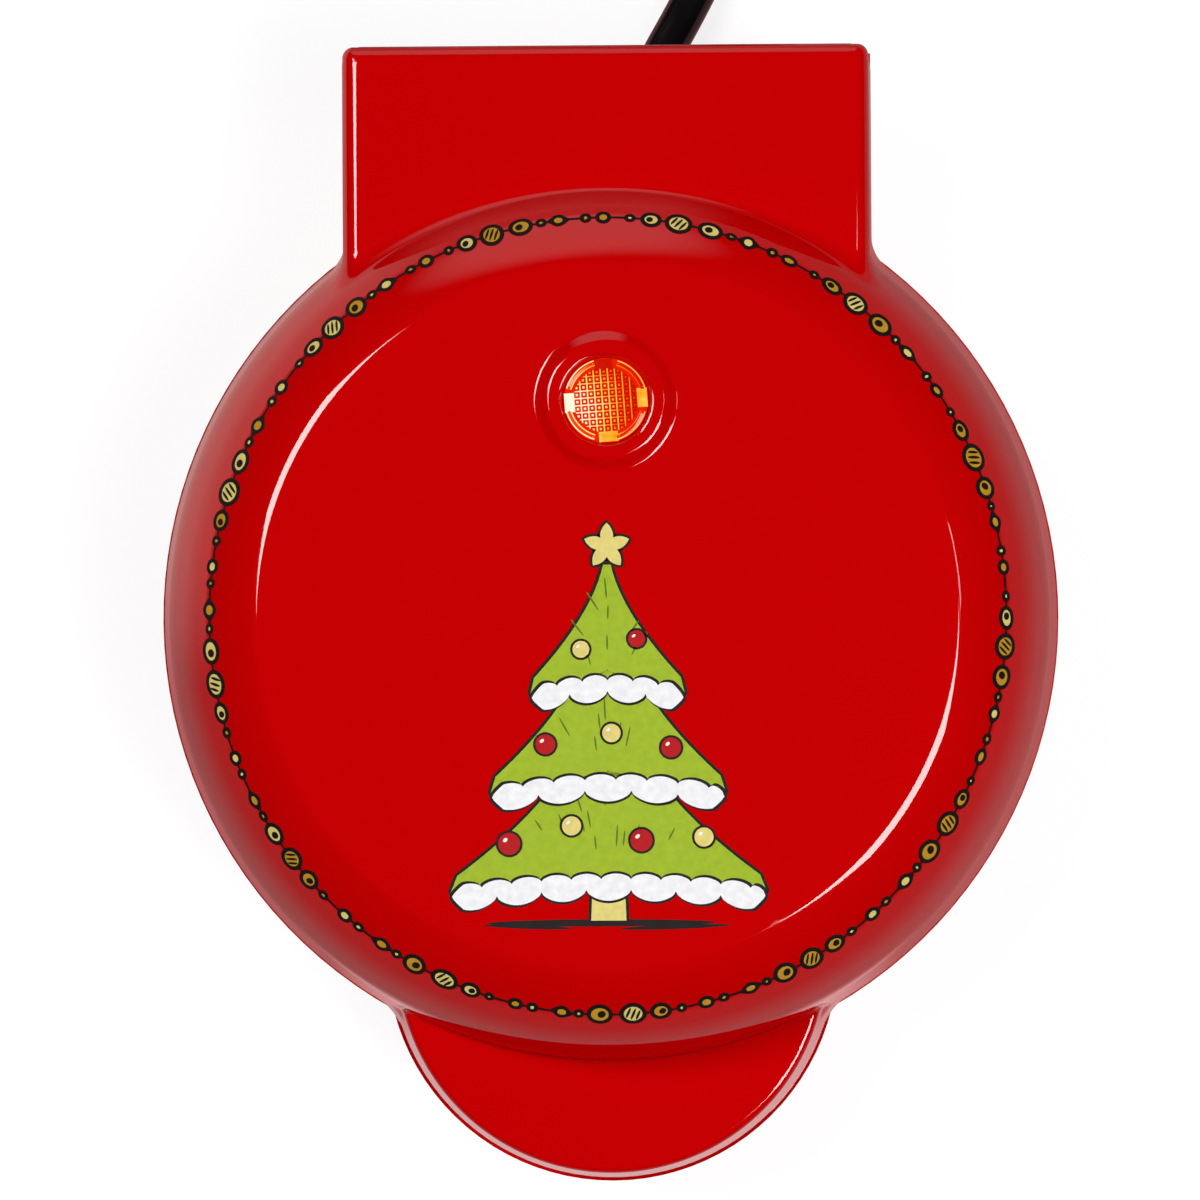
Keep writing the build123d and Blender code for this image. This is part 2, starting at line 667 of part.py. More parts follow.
way_y, way_z = cos(radians(lead_fall)), sin(radians(lead_fall))
with BuildPart() as hinge_lead:
    add(tube([(bush_end, hinge_y, hinge_z), (lead_x, hinge_y, hinge_z),
              (lead_x, hinge_y - 14.6 * way_y, hinge_z - 14.6 * way_z), (lead_x, 57.5, 12),
              (lead_x, 30, 10), (4, 14, 12), (4, 3.15, 12)], [2, 3, 3, 4, 4], lead_radius))

with BuildPart() as lid_lead:
    add(tube([(bush_end + 0.2, hinge_y, hinge_z), (34.35, hinge_y, hinge_z), (34.35, hinge_y, 48.5), (30.5, 66.5, 52),
              (28, 60, 51.8), (25.3, 51.5, 52.2), (23, 46.8, 60.5), (17, 41, 63), (8, 40, 63), (-4, 38, 63),
              (-10, 26, 64),
              (-16, far_terminal[1], 2 * middle - terminal_z),
              (far_terminal[0] + 1.1, far_terminal[1], 2 * middle - terminal_z)],
             [1.3, 2, 2, 2, 2, 3, 3, 3, 3, 3, 2], lead_radius))

# Strain relief: flange inside the wall, then a ribbed taper out to the lead
with BuildPart() as strain_relief:
    with BuildSketch(Plane.YZ.offset(exit_x)):
        with BuildLine():
            Polyline((relief_start, exit_z), (relief_start, exit_z + relief_neck + 1.2),
                     (recess_front - wall, exit_z + relief_neck + 1.2),
                     (recess_front - wall, exit_z + relief_neck), (recess_front + 1, exit_z + relief_neck),
                     (exit_y, exit_z + relief_tip), (exit_y, exit_z), close=True)
        make_face()
    revolve(axis=Axis((exit_x, 0, exit_z), (0, 1, 0)))
    for step in range(4):
        with Locations(Location((exit_x, recess_front + 3 + 3.2 * step, exit_z), (90, 0, 0))):
            with BuildSketch(Plane.XZ.offset(-(recess_front + 3 + 3.2 * step))):
                with Locations((exit_x, exit_z)):
                    Circle(relief_neck + 1)
                    Circle(cord_radius + 0.2, mode=Mode.SUBTRACT)
        extrude(amount=1.2, mode=Mode.SUBTRACT)
    with Locations((exit_x, relief_start, foot_height + wall)):
        Box(20, 20, 20, align=(Align.CENTER, Align.CENTER, Align.MAX), mode=Mode.SUBTRACT)


# Mains lead: each corner's arc takes 0.45 of its shorter run
def corner_radii(points):
    radii = []
    for a, b, c in zip(points, points[1:], points[2:]):
        before, after = Vector(*b) - Vector(*a), Vector(*c) - Vector(*b)
        turn = radians(before.get_angle(after))
        radii.append(0.45 * min(before.length, after.length) / tan(turn / 2))
    return radii


with BuildPart() as power_cord:
    add(tube(route, corner_radii(route), cord_radius))

# The coil starts where the route ends, in the direction of its last run
heading = atan2(route[-1][0] - route[-2][0], route[-1][1] - route[-2][1])
coil_inner = coil_middle - coil_pitch * coil_turns / 4
coil_outer = coil_middle + coil_pitch * coil_turns / 4
coil_start = -heading - atan(coil_pitch / (2 * pi * coil_outer))
coil_x = route[-1][0] - coil_outer * cos(coil_start)
coil_y = route[-1][1] - coil_outer * sin(coil_start)


def coil_point(u):
    """Centre line of the coil after u turns: a spiral in and out, which climbs a layer where it reverses."""
    away = u - coil_turns / 2
    climb = min(max(away * 2 + 0.5, 0), 1)
    radius = coil_inner + coil_pitch * abs(away)
    angle = coil_start + 2 * pi * u
    height = cord_radius + coil_pitch * climb * climb * (3 - 2 * climb)
    return Vector(coil_x + radius * cos(angle), coil_y + radius * sin(angle), height)


def coil_direction(u):
    """Tangent of the coil after u turns."""
    away = u - coil_turns / 2
    climb = min(max(away * 2 + 0.5, 0), 1)
    radius = coil_inner + coil_pitch * abs(away)
    out = coil_pitch * (0 if abs(away) < 1e-9 else away / abs(away)) / (2 * pi)
    angle = coil_start + 2 * pi * u
    rise = coil_pitch * 12 * climb * (1 - climb) / (2 * pi)
    return Vector(out * cos(angle) - radius * sin(angle), out * sin(angle) + radius * cos(angle), rise).normalized()


def biarc(start, end, start_way, end_way):
    """Two arcs that meet in one tangent, between two points with a direction at each."""
    chord = end - start
    along = chord.dot(start_way + end_way)
    spread = 2 * (1 - start_way.dot(end_way))
    reach = (sqrt(along * along + spread * chord.dot(chord)) - along) / spread
    joint = (start + end + (start_way - end_way) * reach) * 0.5
    TangentArc(start, joint, tangent=start_way)
    TangentArc(joint, end, tangent=end - start - (start_way + end_way) * reach)


with BuildPart() as cord_coil:
    with BuildLine() as coil_line:
        for span in range(coil_spans):
            u0, u1 = coil_turns * span / coil_spans, coil_turns * (span + 1) / coil_spans
            biarc(coil_point(u0), coil_point(u1), coil_direction(u0), coil_direction(u1))
    coil_path = coil_line.wires()[0]
    with BuildSketch(Plane(coil_path @ 0, z_dir=coil_path % 0)):
        Circle(cord_radius)
    sweep(path=coil_path)

# Free end of the lead, down beside the coil to the plug
tail = [tuple(coil_point(coil_turns))]
end_way = coil_direction(coil_turns)
for length, left, height in tail_runs:
    angle = atan2(end_way.Y, end_way.X) + radians(left)
    tail.append((tail[-1][0] + length * cos(angle), tail[-1][1] + length * sin(angle), height))
    end_way = Vector(cos(angle), sin(angle), 0)

with BuildPart() as cord_tail:
    add(tube(tail, corner_radii(tail), cord_radius))

# Mains plug, flat on the table, with its own tapered relief and two blades
plug_plane = Plane(tail[-1], x_dir=(-end_way.Y, end_way.X, 0), z_dir=end_way)
with BuildPart() as plug:
    with BuildSketch(plug_plane):
        Circle(cord_radius + 0.5)
    with BuildSketch(plug_plane.offset(plug_relief)):
        Circle(cord_radius + 2.2)
    loft()
    with BuildSketch(plug_plane.offset(plug_relief)) as plug_outline:
        RectangleRounded(plug_body[0], plug_body[1], 4)
    extrude(amount=plug_body[2])
    fillet(plug.faces().sort_by(Axis(tail[-1], tuple(end_way)))[-1].edges(), 1.2)

blade_start = plug_relief + plug_body[2]
with BuildPart() as plug_blades:
    with BuildSketch(plug_plane.offset(blade_start)):
        with GridLocations(blade_spacing, 1, 2, 1):
            Rectangle(blade[0], blade[1])
    extrude(amount=blade[2])
    with BuildSketch(Plane(plug_plane.offset(blade_start + blade[2] - 4).origin, x_dir=end_way,
                           z_dir=plug_plane.x_dir)):
        Circle(1.6)
    extrude(amount=blade_spacing, both=True, mode=Mode.SUBTRACT)
    chamfer(plug_blades.faces().sort_by(Axis(tail[-1], tuple(end_way)))[-2:].edges().filter_by(Axis.Z), 0.5)


def coil_gap():
    """Least gap between any two turns of the coil, measured on points of its centre line."""
    steps = 72
    points = [coil_point(i / steps) for i in range(int(coil_turns * steps) + 1)]
    return min((a - b).length for i, a in enumerate(points) for b in points[i + steps // 2:]) - 2 * cord_radius


lead_length = {name: part.part.volume / (pi * cord_radius ** 2)
               for name, part in (("power_cord", power_cord), ("cord_coil", cord_coil), ("cord_tail", cord_tail))}
print("radii along the route", [round(r, 1) for r in corner_radii(route)])
print("radii along the free end", [round(r, 1) for r in corner_radii(tail)])
print("least gap in the coil", round(coil_gap(), 2))
print("length of each stretch of lead", {name: round(v, 1) for name, v in lead_length.items()},
      "in all", round(sum(lead_length.values()), 1))

pieces = {
    "base_shell": base_shell, "base_deck": base_deck, "lower_plate": lower_plate, "lower_element": lower_element,
    "lower_reflector": lower_reflector, "lower_plate_screws": lower_plate_screws, "thermostat": thermostat,
    "thermal_fuse": thermal_fuse, "base_leads": base_leads, "hinge_lead": hinge_lead, "base_screws": base_screws,
    "pivot_pin": pivot_pin, "pivot_bush": pivot_bush, "strain_relief": strain_relief, "power_cord": power_cord,
    "cord_coil": cord_coil, "cord_tail": cord_tail, "plug": plug, "plug_blades": plug_blades,
    "lid_shell": lid_shell, "lid_deck": lid_deck, "upper_plate": upper_plate, "upper_element": upper_element,
    "upper_reflector": upper_reflector, "upper_plate_screws": upper_plate_screws, "lid_screws": lid_screws,
    "indicator_lens": indicator_lens, "neon_lamp": neon_lamp, "lamp_holder": lamp_holder, "lid_lead": lid_lead,
    **feet,
}
os.makedirs("parts", exist_ok=True)
for name, piece in pieces.items():
    piece.part.label = name
    export_step(piece.part, f"parts/{name}.step")
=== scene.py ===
"""Mini waffle maker: lid skin, lens, printing, mains lead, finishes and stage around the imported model."""
from functools import partial
from math import atan, atan2, cos, pi, radians, sin, tan

import bpy
import numpy as np
from bpy.props import FloatProperty, FloatVectorProperty, IntProperty, PointerProperty
from bpy.types import Operator, Panel, PropertyGroup
from mathutils import Matrix, Vector


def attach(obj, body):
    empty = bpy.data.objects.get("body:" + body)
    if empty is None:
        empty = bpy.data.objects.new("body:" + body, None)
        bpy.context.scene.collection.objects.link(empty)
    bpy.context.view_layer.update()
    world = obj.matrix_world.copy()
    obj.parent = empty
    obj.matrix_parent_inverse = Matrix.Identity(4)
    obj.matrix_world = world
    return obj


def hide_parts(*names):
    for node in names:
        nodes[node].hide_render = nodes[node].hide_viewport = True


bl_info = {
    "name": "Mini Waffle Maker",
    "version": (1, 0, 0),
    "blender": (4, 5, 0),
    "location": "View3D > Sidebar > Waffle Maker",
    "description": "Small round waffle maker with a printed red lid, a lit lens and a coiled mains lead",
    "category": "Add Mesh",
}

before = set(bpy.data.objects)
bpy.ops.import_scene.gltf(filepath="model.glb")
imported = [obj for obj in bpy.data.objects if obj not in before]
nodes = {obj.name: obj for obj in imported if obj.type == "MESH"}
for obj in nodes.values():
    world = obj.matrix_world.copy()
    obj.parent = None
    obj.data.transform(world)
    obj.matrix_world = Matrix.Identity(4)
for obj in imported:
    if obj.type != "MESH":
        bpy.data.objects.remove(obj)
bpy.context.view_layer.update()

MM = 0.001

# Lid, in millimetres
lid_rim = 37.4
lid_radius = 63.2
lid_top = 70.0
half_length = 79.8
shoulder_radius = 20.0
disc_radius = 48.1
crease = radians(20.0)
block_half_width, block_top, block_front = 37.3, 61.0, 20.0
block_corner = 2.5          # radius of its upright corners
block_draft = radians(2.6)
junction_growth = 2.65      # of the round between dome and block, from the middle to the sides of the block
tab_radius, tab_top = 31.5, 46.5
tab_centre = -47.8
tab_draft = radians(10.0)

shoulder_r = disc_radius - shoulder_radius * sin(crease)
shoulder_z = lid_top - shoulder_radius * cos(crease)
reach_r, reach_z = lid_radius - shoulder_r, lid_rim - shoulder_z
lid_draft = np.arccos(shoulder_radius / np.hypot(reach_r, reach_z)) + atan2(reach_z, reach_r)

# Place inside the lid from which rays find its skin
ray_start = np.array([0.0, 10.0, lid_rim + 0.4])

# Lens, in millimetres
lens_y = 29.3
lens_floor = 70.05          # window under the prisms
ring_height = 1.0           # of the raised ring, over the flat top
ring_hole = 8.0             # radius of the opening in the skin, under the raised ring
prism_reach = 4.15          # prisms stand where the middle is this near to the lens's middle
prism_height = 0.3
snap_radius = 5.3           # middle of the snap ring's strip

# Garland, in millimetres
garland_across = 7.4        # from the crease out to the garland
garland_radius = 54.5
garland_start = 0.35        # angle of its first bead
garland_repeats = 13

# One repeat of the garland: half length and half width of each bead, the gap before it, and its kind
garland_beads = [(1.95, 1.95, 0.9, "striped"), (1.6, 1.5, 0.5, "eyed"), (0.8, 0.82, 0.6, "plain"),
                 (1.2, 1.15, 2.2, "eyed"), (0.85, 0.88, 0.5, "plain"), (1.25, 1.2, 2.2, "lozenge"),
                 (0.8, 0.82, 0.5, "plain"), (1.75, 1.75, 0.35, "eyed")]

# Fir tree, in millimetres: top, lower edge, half width at both, and number of lobes of each tier
tree_tiers = [(-16.5, -36.0, 4.5, 21.5, 7), (-4.0, -22.5, 3.0, 16.0, 5), (8.0, -9.0, 0.4, 10.5, 4)]
tree_line = 0.42            # width of the outlines
snow_line = 0.34
trunk_corners = np.array([(-2.2, -36.5), (-2.4, -41.5), (2.4, -41.5), (2.2, -36.5)])
star_y = 9.4
star_radius, star_swing = 1.45, 1.75
baubles = [(-13.5, -31.0, 1.5), (-5.0, -28.6, 1.3), (4.5, -30.6, 1.5), (13.0, -30.2, 1.3),
           (-8.5, -17.5, 1.35), (0.5, -16.0, 1.25), (8.6, -18.0, 1.35), (-3.6, -4.6, 1.15), (4.0, -3.2, 1.15)]

# Mains lead, in millimetres: route to the table, coil, and free end to the plug
route = [(3.5, 60, 9), (3.5, 70.6, 9), (5.95, 80.1, 7.6), (11.8, 90.5, 4.6), (17.7, 103, 3), (22, 116.3, 3),
         (24.7, 130.1, 3)]
lead_radius = 3.0
coil_turns, coil_pitch, coil_middle = 3.07, 6.6, 35.5
coil_points = 24
tail_runs = [(9.0, 0.0, 9.6), (10.0, 8.0, 8.1), (10.0, 8.0, 6.6), (9.0, 4.0, 6.6)]

# Stage, in metres
floor_half, floor_z = 3.0, -0.0001
lamp_distance = 1.5
# Painted pale patch of light on the floor, towards the upper left
painted_light_side = radians(150)    # direction in which the floor is seen palest in the glossy pieces


# Sizes and colours

def length_setting(name, description, default):
    """Setting that holds a length in metres."""
    return FloatProperty(name=name, description=description, default=default, unit="LENGTH", precision=5)


def place_setting(name, description, default):
    """Setting that holds a place in metres."""
    return FloatVectorProperty(name=name, description=description, default=default, subtype="TRANSLATION",
                               unit="LENGTH", precision=5)


def colour_setting(name, description, default):
    """Setting that holds a colour."""
    return FloatVectorProperty(name=name, description=description, default=default, subtype="COLOR",
                               min=0, max=1)


class LidSizes(PropertyGroup):
    """Sizes of the lid's moulded surface."""
    skin: length_setting("Skin", "Thickness of the glossy surface over the moulding", 0.00006)
    crease_width: length_setting("Crease Width", "Width of the soft edge around the flat top", 0.0012)
    block_edge: length_setting("Block Edge", "Radius of the top edge of the hinge block", 0.0020)
    tab_edge: length_setting("Tab Edge", "Radius of the top edge of the handle tab", 0.0007)
    corner: length_setting("Corner", "Radius of the inside corners beside the block and the tab", 0.0020)
    top_corner: length_setting("Top Corner", "Radius where the dome rises from a flat top", 0.0006)
    rim_edge: length_setting("Rim Edge", "Radius of the lid's lower rim", 0.0004)
    columns: IntProperty(name="Columns", description="Steps round the lid", default=480, min=120, max=640)
    rows: IntProperty(name="Rows", description="Steps from the rim to the middle of the top", default=190,
                      min=60, max=240)


class LensSizes(PropertyGroup):
    """Sizes and light of the indicator lens."""
    pitch: length_setting("Prism Pitch", "Distance from one prism to the next", 0.00097)
    tilt: FloatProperty(name="Prism Turn", description="Turn of the rows of prisms", default=radians(4.0),
                        subtype="ANGLE")
    glow: FloatProperty(name="Glow", description="Strength of the lamp behind the lens", default=1.0, min=0.0)


class PrintColours(PropertyGroup):
    """Inks of the printed decoration."""
    outline: colour_setting("Outline", "Dark outline ink", (0.012, 0.006, 0.006))
    pale_gold: colour_setting("Pale Gold", "Light gold ink", (0.74, 0.62, 0.19))
    deep_gold: colour_setting("Deep Gold", "Dark gold ink", (0.52, 0.28, 0.02))
    green: colour_setting("Green", "Green ink of the fir tree", (0.34, 0.47, 0.02))
    dark_green: colour_setting("Dark Green", "Green ink of the twigs", (0.10, 0.18, 0.008))
    white: colour_setting("White", "White ink of the snow", (0.86, 0.86, 0.88))
    red: colour_setting("Red", "Red ink of the baubles", (0.46, 0.004, 0.006))


class FinishColours(PropertyGroup):
    """Colours of the moulded and coated pieces and of the lead."""
    lid_red: colour_setting("Red", "Glossy red of the housings", (0.565, 0.0001, 0.0006))
    coating: colour_setting("Coating", "Non-stick coating of the waffle plates", (0.022, 0.021, 0.021))
    jacket: colour_setting("Jacket", "Jacket of the mains lead", (0.007, 0.006, 0.006))


class StudioSizes(PropertyGroup):
    """Camera, lamps and floor."""
    camera_place: place_setting("Camera", "Place of the camera", (0.01077, -0.00747, 0.85307))
    camera_target: place_setting("Target", "Point that the camera looks at", (-0.00145, 0.0025, 0.037))
    camera_up: FloatVectorProperty(name="Up", description="Direction that is up in the picture",
                                   subtype="DIRECTION", default=(0.0058, 1.0, 0.0))
    lens: FloatProperty(name="Lens", description="Focal length on a 36 mm film", default=172.7, unit="CAMERA")
    lamp_level: FloatProperty(name="Lamps", description="Radiance of the large lamps", default=14.6, min=0)
    floor_tone: FloatProperty(name="Floor", description="Tone of the white floor", default=0.6, min=0, max=1)


# Meshes

def grid_faces(rows, columns, closed):
    """Quads between the points (row, column) of a grid, numbered row by row. Where closed, the last column
    joins the first."""
    last = columns if closed else columns - 1
    row, column = np.meshgrid(np.arange(rows - 1), np.arange(last), indexing="ij")
    after = (column + 1) % columns
    return np.stack([row * columns + column, row * columns + after, (row + 1) * columns + after,
                     (row + 1) * columns + column], axis=-1).reshape(-1, 4)


def repeated(faces, size, copies):
    """Faces of a shape of size points, numbered on from each of its copies to the next."""
    return (faces[None] + size * np.arange(copies)[:, None, None]).reshape(-1, 4)


def joined(patches):
    """Points and faces of one mesh from those of several."""
    points, faces, count = [], [], 0
    for some, quads in patches:
        points.append(some.reshape(-1, 3))
        faces.append(quads + count)
        count += len(points[-1])
    return np.concatenate(points), np.concatenate(faces)


def about_lens(profile, steps):
    """Points of a profile of (radius, height) that is turned about the middle of the lens, a row for each."""
    turn = np.linspace(0, 2 * pi, steps + 1)[:-1]
    radius, height = np.array(profile).T[..., None]
    return np.stack([radius * np.cos(turn), lens_y + radius * np.sin(turn),
                     np.broadcast_to(height, (len(profile), steps))], axis=-1)


def new_piece(name, points, faces, material, slot="red_shell", smooth=True, normals=None):
    """Mesh object from points in millimetres and faces, which rides on the lid."""
    mesh = bpy.data.meshes.new(name)
    mesh.from_pydata((np.asarray(points).reshape(-1, 3) * MM).tolist(), [], np.asarray(faces).tolist())
    mesh.validate()
    mesh.polygons.foreach_set("use_smooth", np.full(len(mesh.polygons), smooth))
    if normals is not None:
        mesh.normals_split_custom_set_from_vertices(np.asarray(normals).reshape(-1, 3).tolist())
    mesh.update()
    mesh.materials.append(material)
    piece = bpy.data.objects.new(name, mesh)
    bpy.context.scene.collection.objects.link(piece)
    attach(piece, "lid")
    return piece


# Finishes

def start_material(name):
    """New node material, its tree, its shader, and Object coordinates in metres."""
    material = bpy.data.materials.new(name)
    material.use_nodes = True
    tree = material.node_tree
    place = tree.nodes.new("ShaderNodeTexCoord").outputs["Object"]
    return material, tree, tree.nodes["Principled BSDF"], place


def stretched(tree, place, scale, turn=(0, 0, 0)):
    """Coordinates multiplied by scale, after a turn."""
    mapping = tree.nodes.new("ShaderNodeMapping")
    mapping.inputs["Scale"].default_value = scale
    mapping.inputs["Rotation"].default_value = turn
    tree.links.new(place, mapping.inputs["Vector"])
    return mapping.outputs["Vector"]


def separated(tree, place):
    """X, Y and Z of a place."""
    node = tree.nodes.new("ShaderNodeSeparateXYZ")
    tree.links.new(place, node.inputs["Vector"])
    return node.outputs


def noise(tree, place, scale, detail=2.0, rough=0.5):
    """Noise value from 0 to 1, with scale cells a metre."""
    node = tree.nodes.new("ShaderNodeTexNoise")
    node.inputs["Scale"].default_value = scale
    node.inputs["Detail"].default_value = detail
    node.inputs["Roughness"].default_value = rough
    tree.links.new(place, node.inputs["Vector"])
    return node.outputs["Fac"]


def mapped(tree, value, low, high, to_low, to_high, course="LINEAR"):
    """Value carried from the range low to high to another range, and held at its ends."""
    node = tree.nodes.new("ShaderNodeMapRange")
    node.interpolation_type = course
    for name, number in (("From Min", low), ("From Max", high), ("To Min", to_low), ("To Max", to_high)):
        node.inputs[name].default_value = number
    tree.links.new(value, node.inputs["Value"])
    return node.outputs["Result"]


def calculated(tree, operation, a, b=None):
    """Math node on sockets or plain numbers."""
    node = tree.nodes.new("ShaderNodeMath")
    node.operation = operation
    for socket, value in zip(node.inputs, (a, b)):
        if isinstance(value, (int, float)):
            socket.default_value = value
        elif value is not None:
            tree.links.new(value, socket)
    return node.outputs["Value"]


def blended(tree, share, first, second):
    """Colour between two colours or sockets by share."""
    node = tree.nodes.new("ShaderNodeMix")
    node.data_type = "RGBA"
    tree.links.new(share, node.inputs["Factor"])
    # The node has sockets A and B and a result of each data type, and the colours are these
    for socket, colour in ((node.inputs[6], first), (node.inputs[7], second)):
        if hasattr(colour, "links"):
            tree.links.new(colour, socket)
        else:
            socket.default_value = (*colour[:3], 1.0)
    return node.outputs[2]


def mixed(tree, share, first, second):
    """Shader between two shaders by share."""
    node = tree.nodes.new("ShaderNodeMixShader")
    for socket, source in zip(node.inputs, (share, first, second)):
        tree.links.new(source, socket)
    return node.outputs["Shader"]


def bumped(tree, shader, height, depth):
    """Bump of depth metres on the shader's normal."""
    node = tree.nodes.new("ShaderNodeBump")
    node.inputs["Distance"].default_value = depth
    node.inputs["Strength"].default_value = 1.0
    tree.links.new(height, node.inputs["Height"])
    tree.links.new(node.outputs["Normal"], shader.inputs["Normal"])


def toned(colour, factor):
    """Colour multiplied by factor."""
    return tuple(min(1.0, c * factor) for c in colour[:3])


def simple_finish(name, colour, vary, grain, roughness, bump, metallic=0.0, stretch=(1, 1, 1), ior=1.5):
    """Finish whose colour varies by vary over grain cells a metre, with a roughness range and a bump given as
    cells a metre and depth in metres."""
    material, tree, shader, place = start_material(name)
    where = stretched(tree, place, stretch)
    shader.inputs["Metallic"].default_value = metallic
    shader.inputs["IOR"].default_value = ior
    share = mapped(tree, noise(tree, where, grain), 0.3, 0.7, 0, 1)
    tones = blended(tree, share, toned(colour, 1 - vary), toned(colour, 1 + vary))
    tree.links.new(tones, shader.inputs["Base Color"])
    worn = mapped(tree, noise(tree, where, grain * 0.37, 4), 0.3, 0.7, *roughness)
    tree.links.new(worn, shader.inputs["Roughness"])
    if bump:
        bumped(tree, shader, noise(tree, where, bump[0], 3), bump[1])
    return material


def moulded_red(colours):
    """Polished red plastic: a slow change of tone, faint haze and a barely seen flow in the surface."""
    material, tree, shader, where = start_material("moulded_red")
    share = mapped(tree, noise(tree, where, 14, 1), 0.3, 0.7, 0, 1)
    tones = blended(tree, share, toned(colours.lid_red, 0.975), toned(colours.lid_red, 1.02))
    tree.links.new(tones, shader.inputs["Base Color"])
    haze = mapped(tree, noise(tree, where, 60, 4, 0.6), 0.35, 0.75, 0.030, 0.055)
    tree.links.new(haze, shader.inputs["Roughness"])
    shader.inputs["IOR"].default_value = 1.54
    bumped(tree, shader, noise(tree, where, 110, 1), 0.000004)
    return material


def nonstick_coating(colours):
    """Dark coating sprayed on cast aluminium: fine speckle, satin sheen and a grainy bump."""
    material, tree, shader, where = start_material("nonstick_coating")
    specks = tree.nodes.new("ShaderNodeTexVoronoi")
    specks.inputs["Scale"].default_value = 1500
    tree.links.new(where, specks.inputs["Vector"])
    share = mapped(tree, specks.outputs["Distance"], 0.0, 0.35, 1, 0)
    speckled = blended(tree, share, colours.coating, toned(colours.coating, 3.2))
    tree.links.new(speckled, shader.inputs["Base Color"])
    sheen = mapped(tree, noise(tree, where, 240, 4), 0.3, 0.7, 0.34, 0.5)
    tree.links.new(sheen, shader.inputs["Roughness"])
    bumped(tree, shader, noise(tree, where, 1300, 3), 0.00003)
    return material


def woven_sleeve():
    """Glass-fibre sleeve: two crossed sets of fine threads."""
    material, tree, shader, place = start_material("woven_sleeve")
    heights = []
    for turn in (radians(45), radians(-45)):
        wave = tree.nodes.new("ShaderNodeTexWave")
        wave.inputs["Scale"].default_value = 420
        tree.links.new(stretched(tree, place, (1, 1, 1), (turn * 0.7, turn, turn)), wave.inputs["Vector"])
        heights.append(wave.outputs["Fac"])
    weave = calculated(tree, "MAXIMUM", *heights)
    threads = blended(tree, weave, (0.42, 0.40, 0.33), (0.80, 0.78, 0.70))
    tree.links.new(threads, shader.inputs["Base Color"])
    shader.inputs["Roughness"].default_value = 0.8
    bumped(tree, shader, weave, 0.00012)
    return material


def ink(name, colour):
    """Printed ink with little shine and a slightly uneven film."""
    return simple_finish(name, colour, 0.07, 900, (0.4, 0.6), (2600, 0.000004), ior=1.22)


def prism_light(tree, sizes, x, y, far, radius):
    """Level of light in the prisms: bright lines between them, a bright dot in the middle of each and dark
    sides. The offset from a cell's middle is the fraction of the turned place over the pitch, less a half."""
    maths = partial(calculated, tree)
    c, s = cos(sizes.tilt), sin(sizes.tilt)
    offsets = []
    for a, b in ((c, s), (-s, c)):
        along = maths("ADD", maths("MULTIPLY", x, a), maths("MULTIPLY", y, b))
        cell = maths("FRACT", maths("ADD", maths("DIVIDE", along, sizes.pitch), 100.5))
        offsets.append(maths("ABSOLUTE", maths("SUBTRACT", cell, 0.5)))
    inside = mapped(tree, radius, 4.4, 4.5, 1, 0)
    level = maths("MULTIPLY", mapped(tree, far, 0.0, 0.8, 0.17, 0.02), inside)
    level = maths("ADD", level, mapped(tree, radius, 4.4, 4.5, 0.0, 0.2))
    # The two sets of lines and the dots, each with its level near the lamp and away from it
    marks = [(mapped(tree, offsets[0], 0.39, 0.45, 0, 1), 1.12, 0.52),
             (mapped(tree, offsets[1], 0.39, 0.45, 0, 1), 1.1, 0.12),
             (mapped(tree, maths("MAXIMUM", *offsets), 0.12, 0.2, 1, 0), 1.15, 0.22)]
    for mark, near, away in marks:
        mark = maths("MULTIPLY", mark, inside)
        level = maths("MAXIMUM", level, maths("MULTIPLY", mark, mapped(tree, far, 0.05, 0.8, near, away)))
    return level


def ring_light(tree, far, radius):
    """Level of light in the snap ring, which has two bright outlines."""
    maths = partial(calculated, tree)
    level = mapped(tree, far, 0.0, 1.0, 0.36, 0.1)
    for middle, near, away in ((5.56, 1.0, 0.6), (4.97, 0.9, 0.2)):
        mark = mapped(tree, maths("ABSOLUTE", maths("SUBTRACT", radius, middle)), 0.05, 0.14, 1, 0)
        level = maths("MAXIMUM", level, maths("MULTIPLY", mark, mapped(tree, far, 0.2, 1.1, near, away)))
    return level


